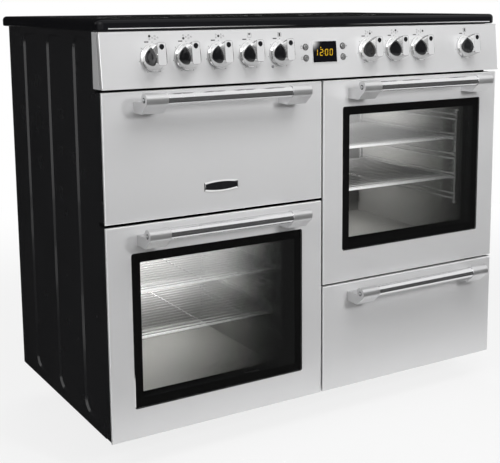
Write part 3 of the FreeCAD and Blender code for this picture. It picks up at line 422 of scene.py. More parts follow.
def painted_light_wire():
    """A painted highlight and a faint painted glow at the front of the ovens, and painted shade behind."""
    finish = Finish("painted_light_wire", (0.8, 0.8, 0.8), roughness=0.35, metallic=0.3)
    # Painted highlight at the front, painted shade behind, and a painted glow on the bright end
    painted_back_shade = finish.between(finish.along("Y"), 0.0, 1.0, *wire_painted_shade_span)
    finish.tint(painted_back_shade, (0.9, 0.9, 0.9), (0.22, 0.22, 0.22))
    finish.set("Emission Color", (1, 1, 1, 1))
    finish.drive("Emission Strength", finish.between(painted_back_shade, wire_painted_glow, 0.0))
    finish.scuff(scale=160.0, low=0.3, high=0.42)
    return finish.material


def satin_chrome(name, level):
    finish = Finish(name, (level, level, level), roughness=0.16, metallic=0.75)
    finish.scuff(scale=35.0, low=0.13, high=0.2)
    return finish.material


def polished_chrome(name, level):
    finish = Finish(name, (level, level, level), roughness=0.06, metallic=1.0)
    finish.scuff(scale=35.0, low=0.04, high=0.10)
    return finish.material


def element_steel():
    finish = Finish("element_steel", (0.20, 0.18, 0.16), roughness=0.45, metallic=0.9)
    finish.tint(finish.noise(scale=60.0), (0.12, 0.10, 0.09), (0.26, 0.23, 0.2))
    finish.grain(scale=700.0, strength=0.2, depth=fine_relief)
    return finish.material


def zone_fibre():
    finish = Finish("zone_fibre", (0.62, 0.58, 0.5), roughness=0.95)
    finish.tint(finish.noise(scale=220.0), (0.5, 0.46, 0.4), (0.7, 0.66, 0.58))
    finish.grain(scale=500.0, strength=0.5, depth=fibre_relief)
    return finish.material


def ceramic_glass():
    finish = Finish("ceramic_glass", (0.008, 0.008, 0.009), roughness=0.05)
    finish.scuff(scale=6.0, low=0.05, high=0.09)
    return finish.material


def clear_field(finish, low, high):
    """1 inside the printed border, whose inner corners are rounded, and 0 on it."""
    edge = clear_inset + clear_corner
    inner = ((high.x - low.x) / 2 - edge, 0, (high.z - low.z) / 2 - edge)
    flat = finish.vector("MULTIPLY", finish.vector("SUBTRACT", finish.place, (low + high) / 2), (1, 0, 1))
    over = finish.vector("SUBTRACT", finish.vector("ABSOLUTE", flat), inner)
    outside = finish.vector("LENGTH", finish.vector("MAXIMUM", over), output="Value")
    return finish.step("LESS_THAN", outside, clear_corner)


def window_glass(node):
    """Glass in a black border: clear at its left, with painted shade that grows to its right and a painted
    reflection that glows white at its top left.
    """
    low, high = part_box(node)
    finish = Finish("window_glass_" + node, (0, 0, 0), roughness=0.03)
    clear = clear_field(finish, low, high)
    across = finish.between(finish.along("X"), 0.0, 1.0, low.x + clear_inset, high.x - clear_inset)
    upwards = finish.between(finish.along("Z"), 0.0, 1.0, (low.z + high.z) / 2, high.z)
    # Painted shade makes the glass more opaque towards the right, and a painted reflection glows white at its top
    # left
    painted_shade = finish.between(finish.step("POWER", across, painted_shade_power), clear_share, painted_shade_shares[node])
    leftwards = finish.step("POWER", finish.step("SUBTRACT", 1.0, across), painted_reflection_power)
    painted_reflection = finish.step("MULTIPLY", finish.step("MULTIPLY", leftwards, upwards), clear)
    finish.set("Emission Color", (1, 1, 1, 1))
    finish.drive("Emission Strength", finish.step("MULTIPLY", painted_reflection, painted_reflection_glow))
    finish.drive("Alpha", finish.step("MAXIMUM", painted_shade, finish.step("SUBTRACT", 1.0, clear)))
    finish.drive("Metallic", clear)
    finish.tint(clear, (0.004, 0.004, 0.004), (0.9, 0.92, 0.91))
    return finish.material


def display_glass():
    """Black glass, with a painted reflection: a pale glint fading out of its top left corner."""
    low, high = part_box("clock_lens")
    finish = Finish("display_glass", (0.006, 0.006, 0.007), roughness=0.06)
    finish.set("Specular IOR Level", 0.2)
    away = finish.vector("DISTANCE", finish.place, (low.x, low.y, high.z), "Value")
    # A painted reflection, pale at the lens's top left corner
    painted_glint = finish.step("POWER", finish.between(away, 1.0, 0.0, 0.0, painted_glint_reach), painted_glint_power)
    finish.tint(painted_glint, (0.004, 0.004, 0.005), (0.8, 0.8, 0.8))
    return finish.material


def lamp_glass():
    finish = Finish("lamp_glass", (0.9, 0.88, 0.8), roughness=0.35)
    finish.set("Emission Color", (1.0, 0.86, 0.66, 1))
    finish.set("Emission Strength", 1.5)
    finish.grain(scale=300.0, strength=0.4, depth=light_relief)
    return finish.material


def smoked_lens():
    finish = Finish("smoked_lens", (0.2, 0.2, 0.21), roughness=0.12, coat=0.5)
    finish.tint(finish.noise(scale=800.0), (0.16, 0.16, 0.17), (0.24, 0.24, 0.25))
    return finish.material


def lagging_wool():
    finish = Finish("lagging_wool", (0.75, 0.7, 0.55), roughness=1.0)
    finish.tint(finish.noise(scale=180.0, detail=6.0), (0.6, 0.55, 0.4), (0.85, 0.8, 0.66))
    finish.grain(scale=350.0, strength=0.8, depth=wool_relief, detail=8.0)
    return finish.material


def black_rubber():
    finish = Finish("black_rubber", (0.02, 0.02, 0.02), roughness=0.7)
    finish.scuff(scale=240.0, low=0.6, high=0.85)
    finish.grain(scale=1200.0, strength=0.3, depth=fine_relief)
    return finish.material


def handle_finish(node):
    """Satin brackets at both ends of a bright tube, told apart by their place along the handle."""
    low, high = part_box(node)
    finish = Finish("handle_finish_" + node, (0.72, 0.72, 0.73), roughness=0.3, metallic=1.0)
    away = finish.step("ABSOLUTE", finish.step("SUBTRACT", finish.along("X"), (low.x + high.x) / 2))
    bracket = finish.step("GREATER_THAN", away, (high.x - low.x) / 2 - bracket_length)
    finish.drive("Roughness", finish.between(bracket, low=0.12, high=0.3))
    finish.drive("Metallic", finish.between(bracket, low=0.93, high=0.78))
    finish.tint(bracket, (0.72, 0.72, 0.73), (0.58, 0.58, 0.585))
    return finish.material


def painted_highlight_bead():
    """A painted highlight, bright towards both ends of the bead, and dark in its middle."""
    finish = Finish("painted_highlight_bead", (0.3, 0.3, 0.3), roughness=0.3, metallic=0.5)
    away = finish.step("ABSOLUTE", finish.along("X"))
    # Painted highlight: bright towards both ends, dark in the middle
    bright = finish.between(away, 0.0, 1.0, highlight_bead_dark_reach, highlight_bead_bright_reach)
    finish.tint(bright, (0.01, 0.01, 0.01), (0.85, 0.85, 0.85))
    return finish.material


def satin_face():
    finish = Finish("satin_face", (0.6, 0.6, 0.605), roughness=0.35, metallic=0.4)
    finish.scuff(scale=200.0, low=0.32, high=0.4)
    return finish.material


# Dark and grey print, and also the bright lines of painted highlight along the fascia's and doors' edges
def ink_and_painted_highlight(name, level):
    finish = Finish(name, (level, level, level), roughness=0.6)
    finish.scuff(scale=300.0, low=0.5, high=0.7)
    return finish.material


def amber_light():
    finish = Finish("amber_light", (0.02, 0.012, 0.0), roughness=0.4)
    finish.set("Emission Color", (0.86, 0.52, 0.01, 1))
    finish.set("Emission Strength", 1.1)
    return finish.material


def black_gloss():
    finish = Finish("black_gloss", (0.01, 0.01, 0.011), roughness=0.12, coat=0.4)
    finish.scuff(scale=90.0, low=0.1, high=0.2)
    return finish.material


def slot_finishes():
    """A finish for each material slot in the record, but for those made to a node's own size."""
    rubber = black_rubber()
    gloss = black_gloss()
    return {
        "silver_enamel": silver_paint(),
        "black_enamel": black_enamel(),
        "oven_enamel": oven_enamel(),
        "pan_enamel": gloss,
        "badge_black": gloss,
        "galvanised_steel": galvanised_steel(),
        "element_steel": element_steel(),
        "rack_chrome": painted_light_wire(),
        "knob_chrome": satin_chrome("knob_chrome", 0.74),
        "button_chrome": satin_chrome("button_chrome", 0.42),
        "hob_ceramic_glass": ceramic_glass(),
        "display_glass": display_glass(),
        "lamp_glass": lamp_glass(),
        "neon_smoke": smoked_lens(),
        "zone_ceramic": zone_fibre(),
        "lagging_wool": lagging_wool(),
        "seal_rubber": rubber,
        "black_plastic": rubber,
    }


def paint_nodes(finishes):
    slots = {row["node"]: row["material_slot"] for row in frame["record"]["subparts"]}
    made_to_size = {"window_glass": window_glass, "satin_metal": handle_finish}
    single_nodes = {"hob_frame": hob_enamel(), "fan_cover": finishes["oven_enamel"]}
    for name, shape in nodes.items():
        slot = slots[name]
        if name in single_nodes:
            made = single_nodes[name]
        elif slot in made_to_size:
            made = made_to_size[slot](name)
        else:
            made = finishes[slot]
        for place in shape.material_slots:
            place.material = made


def dress_part(finishes):
    """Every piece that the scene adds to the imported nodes."""
    steel = finishes["galvanised_steel"]
    gloss = finishes["badge_black"]
    chrome = polished_chrome("polished_chrome", 0.8)
    ink = ink_and_painted_highlight("dark_print", 0.03)
    dress_knobs(gloss, satin_face(), ink)
    dress_clock(finishes["silver_enamel"], amber_light())
    dress_buttons(ink)
    add_button_rings(polished_chrome("smoked_chrome", 0.25))
    add_fascia_edge_highlights(ink_and_painted_highlight("painted_highlight_white", 0.9))
    add_door_edge_highlights(ink_and_painted_highlight("painted_highlight_pale", 0.75))
    add_badge(chrome, gloss)
    add_window_rims(chrome)
    add_zone_prints(ink_and_painted_highlight("grey_print", 0.35))
    add_rear_screws(steel)
    add_cap_screws(steel, finishes["black_plastic"])
    add_hob_highlight_bead(painted_highlight_bead())


# Shapes

class Plane:
    """A flat working plane: across, up, and out towards the viewer."""

    def __init__(self, origin, out=(0, -1, 0), across=(1, 0, 0)):
        self.origin = Vector(origin)
        self.out = Vector(out).normalized()
        self.across = Vector(across).normalized()
        self.up = self.out.cross(self.across)

    def at(self, across, up, out):
        return self.origin + self.across * across + self.up * up + self.out * out


class Shape:
    """A mesh gathered from simple parts, and then placed as one piece on a body."""

    def __init__(self):
        self.points = []
        self.faces = []

    def add(self, points, faces):
        start = len(self.points)
        self.points.extend(points)
        self.faces.extend(tuple(start + index for index in face) for face in faces)

    def flat(self, plane, outline, out):
        self.add([plane.at(a, u, out) for a, u in outline], [tuple(range(len(outline)))])

    def bridge(self, plane, first, first_out, second, second_out):
        """A band between two loops with the same number of points."""
        count = len(first)
        points = [plane.at(a, u, first_out) for a, u in first]
        points += [plane.at(a, u, second_out) for a, u in second]
        faces = [(i, (i + 1) % count, count + (i + 1) % count, count + i) for i in range(count)]
        self.add(points, faces)

    def ring(self, plane, outer, inner, out):
        self.bridge(plane, outer, out, inner, out)

    def bar(self, plane, start, end, width, out):
        """A straight bar with pointed ends."""
        along = Vector(end) - Vector(start)
        step = along.normalized() * width / 2
        side = Vector((-step.y, step.x))
        a, b = Vector(start), Vector(end)
        outline = [a, a + step - side, b - step - side, b, b - step + side, a + step + side]
        self.flat(plane, [(p.x, p.y) for p in outline], out)

    def piece(self, name, material, body, smooth=False):
        mesh = bpy.data.meshes.new(name)
        mesh.from_pydata(self.points, [], self.faces)
        work = bmesh.new()
        work.from_mesh(mesh)
        bmesh.ops.remove_doubles(work, verts=work.verts, dist=merge_distance)
        bmesh.ops.recalc_face_normals(work, faces=work.faces)
        work.to_mesh(mesh)
        work.free()
        mesh.materials.append(material)
        for face in mesh.polygons:
            face.use_smooth = smooth
        made = bpy.data.objects.new(name, mesh)
        bpy.context.scene.collection.objects.link(made)
        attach(made, body)
        return made


def circle(radius, across=0.0, up=0.0, steps=round_steps):
    turns = [2 * math.pi * index / steps for index in range(steps)]
    return [(across + radius * math.cos(turn), up + radius * math.sin(turn)) for turn in turns]


def rectangle(width, height, across=0.0, up=0.0):
    return [(across + side * width / 2, up + level * height / 2)
            for side, level in ((-1, -1), (1, -1), (1, 1), (-1, 1))]


def rounded_rectangle(width, height, radius, across=0.0, up=0.0):
    outline = []
    for turn, (side, level) in enumerate(((1, 1), (-1, 1), (-1, -1), (1, -1))):
        centre_a = across + side * (width / 2 - radius)
        centre_u = up + level * (height / 2 - radius)
        for index in range(corner_steps + 1):
            angle = math.pi / 2 * (turn + index / corner_steps)
            outline.append((centre_a + radius * math.cos(angle), centre_u + radius * math.sin(angle)))
    return outline


def bowed_outline(width, end, middle):
    """Straight upright ends, and long sides that bow out to the middle height."""
    top = []
    for index in range(badge_steps + 1):
        share = 2 * index / badge_steps - 1
        top.append((share * width / 2, (end + (middle - end) * (1 - share * share)) / 2))
    return top + [(a, -u) for a, u in reversed(top)]


# Pieces

def fascia_plane(joint):
    """The fascia's plane at a knob or button, whose axis points out of it."""
    return Plane(joint["pos_m"], joint["axis"])


def grip_side(up, out):
    """How far the grip's flank lies from the knob's middle, up its length and out of the fascia."""
    share = (out - knob_waist) / (knob_face - knob_waist)
    here = {key: waist_grip[key] + (face_grip[key] - waist_grip[key]) * share for key in waist_grip}
    beyond = abs(up - here["rise"]) - here["length"] / 2 + here["corner"]
    bend = math.sqrt(max(0.0, here["corner"] ** 2 - max(0.0, beyond) ** 2))
    return here["width"] / 2 - here["corner"] + bend


def knob_inlay(shape, plane, side):
    """A drop-shaped pad, pointed at the top, let into one flank of the grip."""
    middle = (knob_waist + knob_face) / 2
    points = []
    for share, lift in zip(inlay_ring_shares, inlay_ring_lifts):
        for index in range(round_steps):
            turn = 2 * math.pi * index / round_steps
            narrowing = abs(math.sin(turn / 2)) ** inlay_point_power
            up = share * inlay_half_height * math.cos(turn) + inlay_rise
            out = middle + share * inlay_reach * math.sin(turn) * narrowing
            points.append(plane.at(side * (grip_side(up, out) + lift), up, out))
    faces = []
    for low in range(0, len(points) - round_steps, round_steps):
        for index in range(round_steps):
            ahead = (index + 1) % round_steps
            faces.append((low + index, low + ahead, low + round_steps + ahead, low + round_steps + index))
    shape.add(points, faces)


def drop_outline(up):
    """A round dot with a short point below it."""
    touch = math.acos(dot_radius / dot_tail)
    start = -math.pi / 2 + touch
    sweep = 2 * math.pi - 2 * touch
    arc = [start + sweep * index / round_steps for index in range(round_steps + 1)]
    return [(dot_radius * math.cos(a), up + dot_radius * math.sin(a)) for a in arc] + [(0.0, up - dot_tail)]


def dress_knobs(black, satin, ink):
    """Each knob's two black pads, the satin plate on its face, its pointer and the marks round it."""
    width, length, corner = (face_grip[key] - face_margin for key in ("width", "length", "corner"))
    face = rounded_rectangle(width, length, corner, 0, face_grip["rise"])
    for body, joint in joints.items():
        if not body.startswith("knob_"):
            continue
        plane = fascia_plane(joint)
        inlays = Shape()
        for side in (-1, 1):
            knob_inlay(inlays, plane, side)
        inlays.piece(body + "_inlays", black, body, smooth=True)
        cap = Shape()
        cap.flat(plane, face, knob_face + print_lift)
        cap.piece(body + "_face", satin, body)
        dot = Shape()
        dot.flat(plane, drop_outline(dot_place), knob_face + dot_lift)
        dot.piece(body + "_pointer", black, body)
        knob_marks(body, plane, ink)


def knob_marks(body, plane, ink):
    """The marks printed round one knob: an off dash, spots, and a map or square for what it heats."""
    marks = Shape()
    marks.flat(plane, rectangle(dash_length, dash_width, *dash_place), print_lift)
    for index in range(spot_count):
        turn = 2 * math.pi * index / spot_count
        spot = circle(spot_radius, spot_reach * math.sin(turn), spot_reach * math.cos(turn))
        marks.flat(plane, spot, print_lift)
    if body in hob_knobs:
        zone_map(marks, plane, hob_knobs[body])
    else:
        oven_mark(marks, plane, oven_fill_shares[body])
    marks.piece(body + "_marks", ink, "carcass")


def zone_map(marks, plane, heated):
    """The hob's zones as small rings, with a dot for the one that the knob heats."""
    for index, (column, row) in enumerate(map_places):
        across = column * map_pitch + map_shift
        up = map_row + row * map_pitch / 2
        if index == heated:
            marks.flat(plane, circle(map_dot, across, up), print_lift)
            continue
        outer = circle(map_ring, across, up)
        inner = circle(map_ring - map_line, across, up)
        marks.ring(plane, outer, inner, print_lift)


def oven_mark(marks, plane, fill):
    """A rounded square for an oven, filled between two shares of its height."""
    outer = rounded_rectangle(square_side, square_side, map_ring, 0, map_row)
    side = square_side - 2 * map_line
    inner = rounded_rectangle(side, side, map_ring - map_line, 0, map_row)
    marks.ring(plane, outer, inner, print_lift)
    low, high = (map_row + (share - half_share) * side for share in fill)
    marks.flat(plane, rectangle(side * half_share, high - low, 0, (low + high) / 2), print_lift)


def fascia_plane_at(node):
    """The fascia's own plane, with its origin under the middle of a node."""
    slope = fascia_plane(joints["knob_centre"])
    low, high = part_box(node)
    offset = (low + high) / 2 - slope.origin
    return Plane(slope.at(offset.dot(slope.across), offset.dot(slope.up), 0), slope.out)


def dress_clock(silver, amber):
    """A raised silver rim round the clock's lens, and the lit digits on it."""
    low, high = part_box("clock_lens")
    plane = fascia_plane_at("clock_lens")
    width = high.x - low.x
    height = (high.z - low.z) / plane.up.z
    rim = Shape()
    outer = rounded_rectangle(width + clock_rim, height + clock_rim, 2 * clock_rim)
    inner = rounded_rectangle(width - clock_rim, height - clock_rim, clock_rim)
    rim.bridge(plane, outer, 0, outer, clock_rim_lift)
    rim.bridge(plane, outer, clock_rim_lift, inner, clock_rim_lift)
    rim.bridge(plane, inner, clock_rim_lift, inner, 0)
    rim.piece("clock_rim", silver, "carcass")
    clock_digits(Plane(plane.at(0, -digit_drop, 0), plane.out), clock_glass + print_lift, amber)


def clock_digits(plane, out, amber):
    digits = Shape()
    for digit, place in shown_digits:
        for segment in digit_segments[digit]:
            start, end = (digit_point(place, share) for share in segment_end_shares[segment])
            digits.bar(plane, start, end, digit_bar, out)
    for share in colon_shares:
        digits.flat(plane, circle(colon_radius, colon_place, share * digit_height), out)
    across, up = bell_place
    left, right = across - bell_size, across + bell_size
    digits.flat(plane, [(left, up - bell_size), (right, up - bell_size), (across, up + bell_size)], out)
    digits.piece("clock_digits", amber, "carcass")


def digit_point(place, share):
    """A segment's end, in a digit that leans a little to its right."""
    up = (share[1] - half_share) * digit_height
    return (place + (share[0] - half_share) * digit_width + digit_lean_share * up, up)


def dress_buttons(ink):
    """Beside each button a small print: a ring with a hand at the left, a plus or minus at the right."""
    marks = Shape()
    for body in joints:
        if not body.startswith("button_"):
            continue
        left = "left" in body
        plane = fascia_plane_at(body)
        across = -button_mark_gap if left else button_mark_gap
        size = button_mark_size
        if left:
            marks.ring(plane, circle(size, across), circle(size - map_line, across), print_lift)
            hand = size * half_share if "upper" in body else -size * half_share
            marks.flat(plane, rectangle(map_line, size, across, hand), print_lift)
        else:
            marks.flat(plane, rectangle(size, map_line * 2, across), print_lift)
            if "upper" in body:
                marks.flat(plane, rectangle(map_line * 2, size, across), print_lift)
    marks.piece("button_marks", ink, "carcass")


def add_button_rings(dark):
    """A raised dark ring on the fascia round each button."""
    rings = Shape()
    for body in joints:
        if body.startswith("button_"):
            plane = fascia_plane_at(body)
            outer = circle(button_ring)
            inner = circle(button_ring - button_ring_width)
            rings.bridge(plane, outer, 0, outer, button_ring_height)
            rings.bridge(plane, outer, button_ring_height, inner, button_ring_height)
    rings.piece("button_rings", dark, "carcass")


def add_fascia_edge_highlights(bright):
    """A thin bright line of painted highlight down both ends of the fascia's face."""
    low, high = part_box("control_fascia")
    plane = fascia_plane(joints["knob_centre"])
    edges = Shape()
    foot = (low.z + edge_margin - plane.origin.z) / plane.up.z
    head = (high.z - edge_margin - plane.origin.z) / plane.up.z
    for x, way in ((low.x, 1), (high.x, -1)):
        across = x - plane.origin.x + way * edge_line / 2
        edges.flat(plane, rectangle(edge_line, head - foot, across, (head + foot) / 2), print_lift)
    edges.piece("fascia_edge_highlights", bright, "carcass")


def add_badge(bright, black):
    """A frame that rises to a crest and falls again to the plate inside it."""
    low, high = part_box("badge_plate")
    plane = Plane(((low.x + high.x) / 2, high.y, (low.z + high.z) / 2))
    outer, crest, inner = (
        bowed_outline(badge_width - cut, badge_end - cut, badge_middle - cut)
        for cut in (0, badge_rim, 2 * badge_rim)
    )
    surround = Shape()
    surround.bridge(plane, outer, 0, outer, badge_plate)
    surround.bridge(plane, outer, badge_plate, crest, badge_front)
    surround.bridge(plane, crest, badge_front, inner, badge_plate)
    rim = surround.piece("badge_frame", bright, "grill_door")
    plate = Shape()
    plate.flat(plane, inner, badge_plate)
    plate.piece("badge_face", black, "grill_door")
    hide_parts("badge_plate")


def add_door_edge_highlights(bright):
    """A thin bright line of painted highlight just inside the outline of each door and of the drawer's front."""
    for panel, body in front_bodies.items():
        low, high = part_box(panel)
        plane = Plane(((low.x + high.x) / 2, low.y, (low.z + high.z) / 2))
        outer, inner = (
            rectangle(high.x - low.x - 2 * cut, high.z - low.z - 2 * cut)
            for cut in (door_line_inset, door_line_inset + door_line)
        )
        edge = Shape()
        # Painted highlight along the door's rounded edge
        edge.ring(plane, outer, inner, print_lift)
        edge.piece(panel + "_edge", bright, body)


def add_window_rims(silver):
    """A bright bead round each outer pane, sloped towards the glass."""
    for panes, panel in window_fronts.items():
        low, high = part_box(panes)
        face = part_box(panel)[0].y
        plane = Plane(((low.x + high.x) / 2, face, (low.z + high.z) / 2))
        width = high.x - low.x
        height = high.z - low.z
        inner = rounded_rectangle(width, height, clear_corner)
        outer = rounded_rectangle(width + 2 * rim_width, height + 2 * rim_width, clear_corner + rim_width)
        rim = Shape()
        rim.bridge(plane, outer, 0, outer, rim_height)
        rim.bridge(plane, outer, rim_height, inner, rim_edge)
        rim.piece(panel.replace("panel", "window_rim"), silver, front_bodies[panel])


def add_zone_prints(ink):
    """Two fine rings for each round zone, and one rounded outline for the warming zone."""
    low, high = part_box("hob_glass")
    plane = Plane((0, (low.y + high.y) / 2, high.z + zone_lift), (0, 0, 1))
    width = cad_box[1].x - cad_box[0].x
    prints = Shape()
    rounds = [
        (left_zone_share, 1, large_zone), (left_zone_share, -1, small_zone),
        (middle_zone_share, 0, dual_zone), (middle_zone_share, 0, small_zone),
        (right_zone_share, 1, small_zone), (right_zone_share, -1, large_zone),
    ]
    for share, row, radius in rounds:
        across = share * width
        up = row * zone_row
        for size in (radius, radius - zone_gap):
            prints.ring(plane, circle(size, across, up), circle(size - zone_line / 2, across, up), 0)
    across = warming_zone_share * width
    wide, deep = warming_size
    outer = rounded_rectangle(wide, deep, warming_corner, across)
    inner = rounded_rectangle(wide - zone_line, deep - zone_line, warming_corner - zone_line / 2, across)
    prints.ring(plane, outer, inner, 0)
    prints.piece("zone_prints", ink, "carcass")


def add_screw(shape, plane, across, up, radius=screw_radius):
    """A pan head with a straight slot."""
    head = circle(radius, across, up, screw_steps)
    crown = circle(radius * screw_crown_share, across, up, screw_steps)
    shape.bridge(plane, head, 0, head, screw_height / 2)
    shape.bridge(plane, head, screw_height / 2, crown, screw_height)
    gap = screw_slot / 2
    upper = [(a, max(u, up + gap)) for a, u in crown if u > up]
    lower = [(a, min(u, up - gap)) for a, u in crown if u < up]
    for outline in (upper, lower):
        shape.flat(plane, outline, screw_height)
    shape.flat(plane, rectangle(2 * radius * screw_crown_share, screw_slot, across, up), screw_height / 2)


def add_cap_screws(steel, black):
    """A screw on a dark disc of painted shade at both ends of each handle."""
    for handle, body in handle_bodies.items():
        low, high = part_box(handle)
        screws = Shape()
        recess_shades = Shape()
        for x, way in ((low.x, -1), (high.x, 1)):
            centre = (x, low.y + barrel_radius, high.z - barrel_radius)
            plane = Plane(centre, (way, 0, 0), (0, way, 0))
            # A dark disc of painted shade where the screw's recess lies
            recess_shades.flat(plane, circle(recess_shade_radius), print_lift)
            add_screw(screws, plane, 0, 0, screw_radius * cap_screw_share)
        recess_shades.piece(handle + "_recess_shades", black, body)
        screws.piece(handle + "_screws", steel, body)


def add_hob_highlight_bead(bright):
    """A bead along the lower edge of the hob's front, bright with its painted highlight."""
    low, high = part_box("hob_frame")
    plane = Plane(((low.x + high.x) / 2, low.y, low.z + highlight_bead_row))
    bead = Shape()
    outline = rounded_rectangle(high.x - low.x - 2 * highlight_bead_margin, highlight_bead_height, highlight_bead_height / 2)
    bead.bridge(plane, outline, 0, outline, highlight_bead_proud)
    bead.flat(plane, outline, highlight_bead_proud)
    bead.piece("hob_highlight_bead", bright, "carcass")


def add_rear_screws(steel):
    """Screws all round the rear panel, and two at the top of the terminal cover."""
    low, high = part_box("rear_panel")
    plane = Plane(((low.x + high.x) / 2, high.y, (low.z + high.z) / 2), (0, 1, 0), (-1, 0, 0))
    half_width = (high.x - low.x) / 2 - screw_margin
    half_height = (high.z - low.z) / 2 - screw_margin
    screws = Shape()
    columns = int(2 * half_width // screw_pitch)
    for index in range(columns + 1):
        across = -half_width + 2 * half_width * index / columns
        for up in (-half_height, half_height):
            add_screw(screws, plane, across, up)
    rows = int(2 * half_height // screw_pitch)
    for index in range(1, rows):
        up = -half_height + 2 * half_height * index / rows
        for across in (-half_width, half_width):
            add_screw(screws, plane, across, up)
    screws.piece("rear_screws", steel, "carcass")
    low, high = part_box("terminal_cover")
    plane = Plane(((low.x + high.x) / 2, high.y, high.z), (0, 1, 0), (-1, 0, 0))
    cover = Shape()
    reach = (high.x - low.x) / 2 - screw_margin
    for across in (-reach, reach):
        add_screw(cover, plane, across, -screw_margin)
    cover.piece("terminal_screws", steel, "carcass")


# Studio

def seen_directly(tree):
    """A factor that is 1 for rays from the camera, off a gloss or through glass."""
    path = tree.nodes.new("ShaderNodeLightPath")
    total = path.outputs["Is Camera Ray"]
    for name in ("Is Glossy Ray", "Is Transmission Ray"):
        add = tree.nodes.new("ShaderNodeMath")
        add.operation = "MAXIMUM"
        tree.links.new(total, add.inputs[0])
        tree.links.new(path.outputs[name], add.inputs[1])
        total = add.outputs["Value"]
    return total


def light_world():
    """White where the world is seen, and a dimmer light from all round on the part."""
    world = bpy.data.worlds.new("studio")
    bpy.context.scene.world = world
    world.use_nodes = True
    tree = world.node_tree
    tree.nodes.clear()
    mix = tree.nodes.new("ShaderNodeMixShader")
    out = tree.nodes.new("ShaderNodeOutputWorld")
    for index, level in ((1, ambient_level), (2, white_level)):
        background = tree.nodes.new("ShaderNodeBackground")
        background.inputs["Color"].default_value = (1, 1, 1, 1)
        background.inputs["Strength"].default_value = level
        tree.links.new(background.outputs["Background"], mix.inputs[index])
    tree.links.new(seen_directly(tree), mix.inputs["Fac"])
    tree.links.new(mix.outputs["Shader"], out.inputs["Surface"])


def floor_material():
    """A matte floor under a white glow that leaves a soft shadow near the part and fades it out."""
    made = bpy.data.materials.new("studio_floor")
    made.use_nodes = True
    tree = made.node_tree
    tree.nodes.clear()
    matte = tree.nodes.new("ShaderNodeBsdfDiffuse")
    matte.inputs["Color"].default_value = floor_colour
    glow = tree.nodes.new("ShaderNodeEmission")
    glow.inputs["Strength"].default_value = white_level
    place = tree.nodes.new("ShaderNodeTexCoord")
    length = tree.nodes.new("ShaderNodeVectorMath")
    length.operation = "LENGTH"
    tree.links.new(place.outputs["Object"], length.inputs[0])
    fade = tree.nodes.new("ShaderNodeMapRange")
    fade.interpolation_type = "SMOOTHSTEP"
    fade.inputs["From Min"].default_value = fade_start
    fade.inputs["From Max"].default_value = fade_end
    fade.inputs["To Min"].default_value = near_white_share
    tree.links.new(length.outputs["Value"], fade.inputs["Value"])
    both = tree.nodes.new("ShaderNodeMath")
    both.operation = "MULTIPLY"
    tree.links.new(fade.outputs["Result"], both.inputs[0])
    tree.links.new(seen_directly(tree), both.inputs[1])
    mix = tree.nodes.new("ShaderNodeMixShader")
    out = tree.nodes.new("ShaderNodeOutputMaterial")
    tree.links.new(both.outputs["Value"], mix.inputs["Fac"])
    tree.links.new(matte.outputs["BSDF"], mix.inputs[1])
    tree.links.new(glow.outputs["Emission"], mix.inputs[2])
    tree.links.new(mix.outputs["Shader"], out.inputs["Surface"])
    return made


def flat_sheet(name, corners, material):
    """A flat piece of the studio, which isn't part of the cooker."""
    mesh = bpy.data.meshes.new(name)
    mesh.from_pydata(corners, [], [tuple(range(len(corners)))])
    made = bpy.data.objects.new(name, mesh)
    bpy.context.scene.collection.objects.link(made)
    made.data.materials.append(material)
    return made


def add_floor():
    side = 2 * floor_reach
    flat_sheet("floor", [(across, away, 0) for across, away in rectangle(side, side)], floor_material())


def card_material():
    made = bpy.data.materials.new("dark_card")
    made.use_nodes = True
    tree = made.node_tree
    tree.nodes.clear()
    glow = tree.nodes.new("ShaderNodeEmission")
    glow.inputs["Color"].default_value = (card_level, card_level, card_level, 1)
    out = tree.nodes.new("ShaderNodeOutputMaterial")
    tree.links.new(glow.outputs["Emission"], out.inputs["Surface"])
    return made


def add_cards():
    """Dark studio cards that only show in reflections."""
    dark = card_material()
    sheets = []
    for (left, front), (right, rear) in floor_cards:
        outline = ((left, front), (right, front), (right, rear), (left, rear))
        sheets.append([(*corner, card_lift) for corner in outline])
    for start, end, height in upright_cards:
        sheets.append([(*start, 0), (*end, 0), (*end, height), (*start, height)])
    for index, corners in enumerate(sheets):
        card = flat_sheet("dark_card_" + str(index), corners, dark)
        card.visible_camera = False
        card.visible_diffuse = False
        card.visible_shadow = False
        card.visible_transmission = False


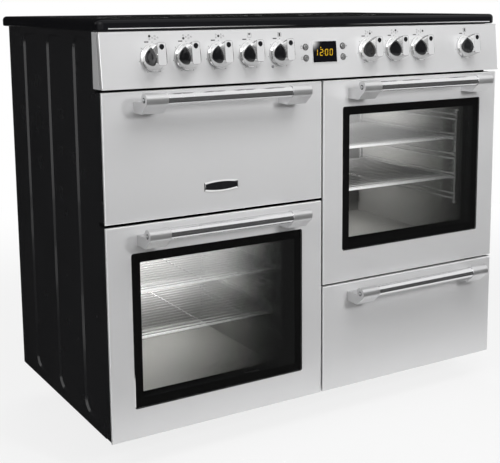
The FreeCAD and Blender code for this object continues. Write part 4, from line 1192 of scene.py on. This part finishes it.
def area_lamp(name, power, size, place, in_gloss):
    """A rectangular lamp aimed at the part, in its reflections or kept out of them."""
    light = bpy.data.lights.new(name, "AREA")
    light.shape = "RECTANGLE"
    light.size, light.size_y = size
    light.energy = power
    made = bpy.data.objects.new(name, light)
    made.visible_glossy = in_gloss
    made.location = place
    made.rotation_euler = (Vector(aim_point) - Vector(place)).to_track_quat("-Z", "Y").to_euler()
    bpy.context.scene.collection.objects.link(made)


def oven_lamp(cavity, power, across_share, setback, drop):
    """A soft lamp high up near the rear of an oven."""
    low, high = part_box(cavity)
    light = bpy.data.lights.new(cavity + "_lamp", "POINT")
    light.energy = power
    light.color = oven_lamp_colour
    light.shadow_soft_size = oven_lamp_size
    made = bpy.data.objects.new(cavity + "_lamp", light)
    made.location = (low.x + across_share * (high.x - low.x), high.y - setback, high.z - drop)
    made.visible_camera = False
    made.visible_glossy = False
    bpy.context.scene.collection.objects.link(made)


def add_lights():
    for name, lamp in studio_lamps.items():
        area_lamp(name, **lamp)
    for cavity, lamp in oven_lamps.items():
        oven_lamp(cavity, **lamp)


def add_camera():
    """The photograph's camera, with its lens shifted so that the optical axis meets axis_px."""
    data = bpy.data.cameras.new("camera")
    data.sensor_fit = "AUTO"
    data.lens = focal_px * data.sensor_width / picture_width_px
    data.shift_x = (picture_width_px / 2 - axis_px[0]) / picture_width_px
    data.shift_y = (axis_px[1] - picture_height_px / 2) / picture_width_px
    yaw = math.radians(camera_yaw)
    pitch = math.radians(camera_pitch)
    roll = math.radians(camera_roll)
    forward = Vector((math.sin(yaw) * math.cos(pitch), math.cos(yaw) * math.cos(pitch), -math.sin(pitch)))
    level = Vector((math.cos(yaw), -math.sin(yaw), 0))
    upright = level.cross(forward)
    right = math.cos(roll) * level + math.sin(roll) * upright
    up = math.cos(roll) * upright - math.sin(roll) * level
    camera = bpy.data.objects.new("camera", data)
    turn = Matrix((right, up, -forward)).transposed()
    camera.matrix_world = Matrix.Translation(camera_place) @ turn.to_4x4()
    bpy.context.scene.collection.objects.link(camera)
    bpy.context.scene.camera = camera


bpy.context.scene.view_settings.view_transform = "Standard"
finishes = slot_finishes()
paint_nodes(finishes)
dress_part(finishes)
light_world()
add_floor()
add_cards()
add_lights()
add_camera()
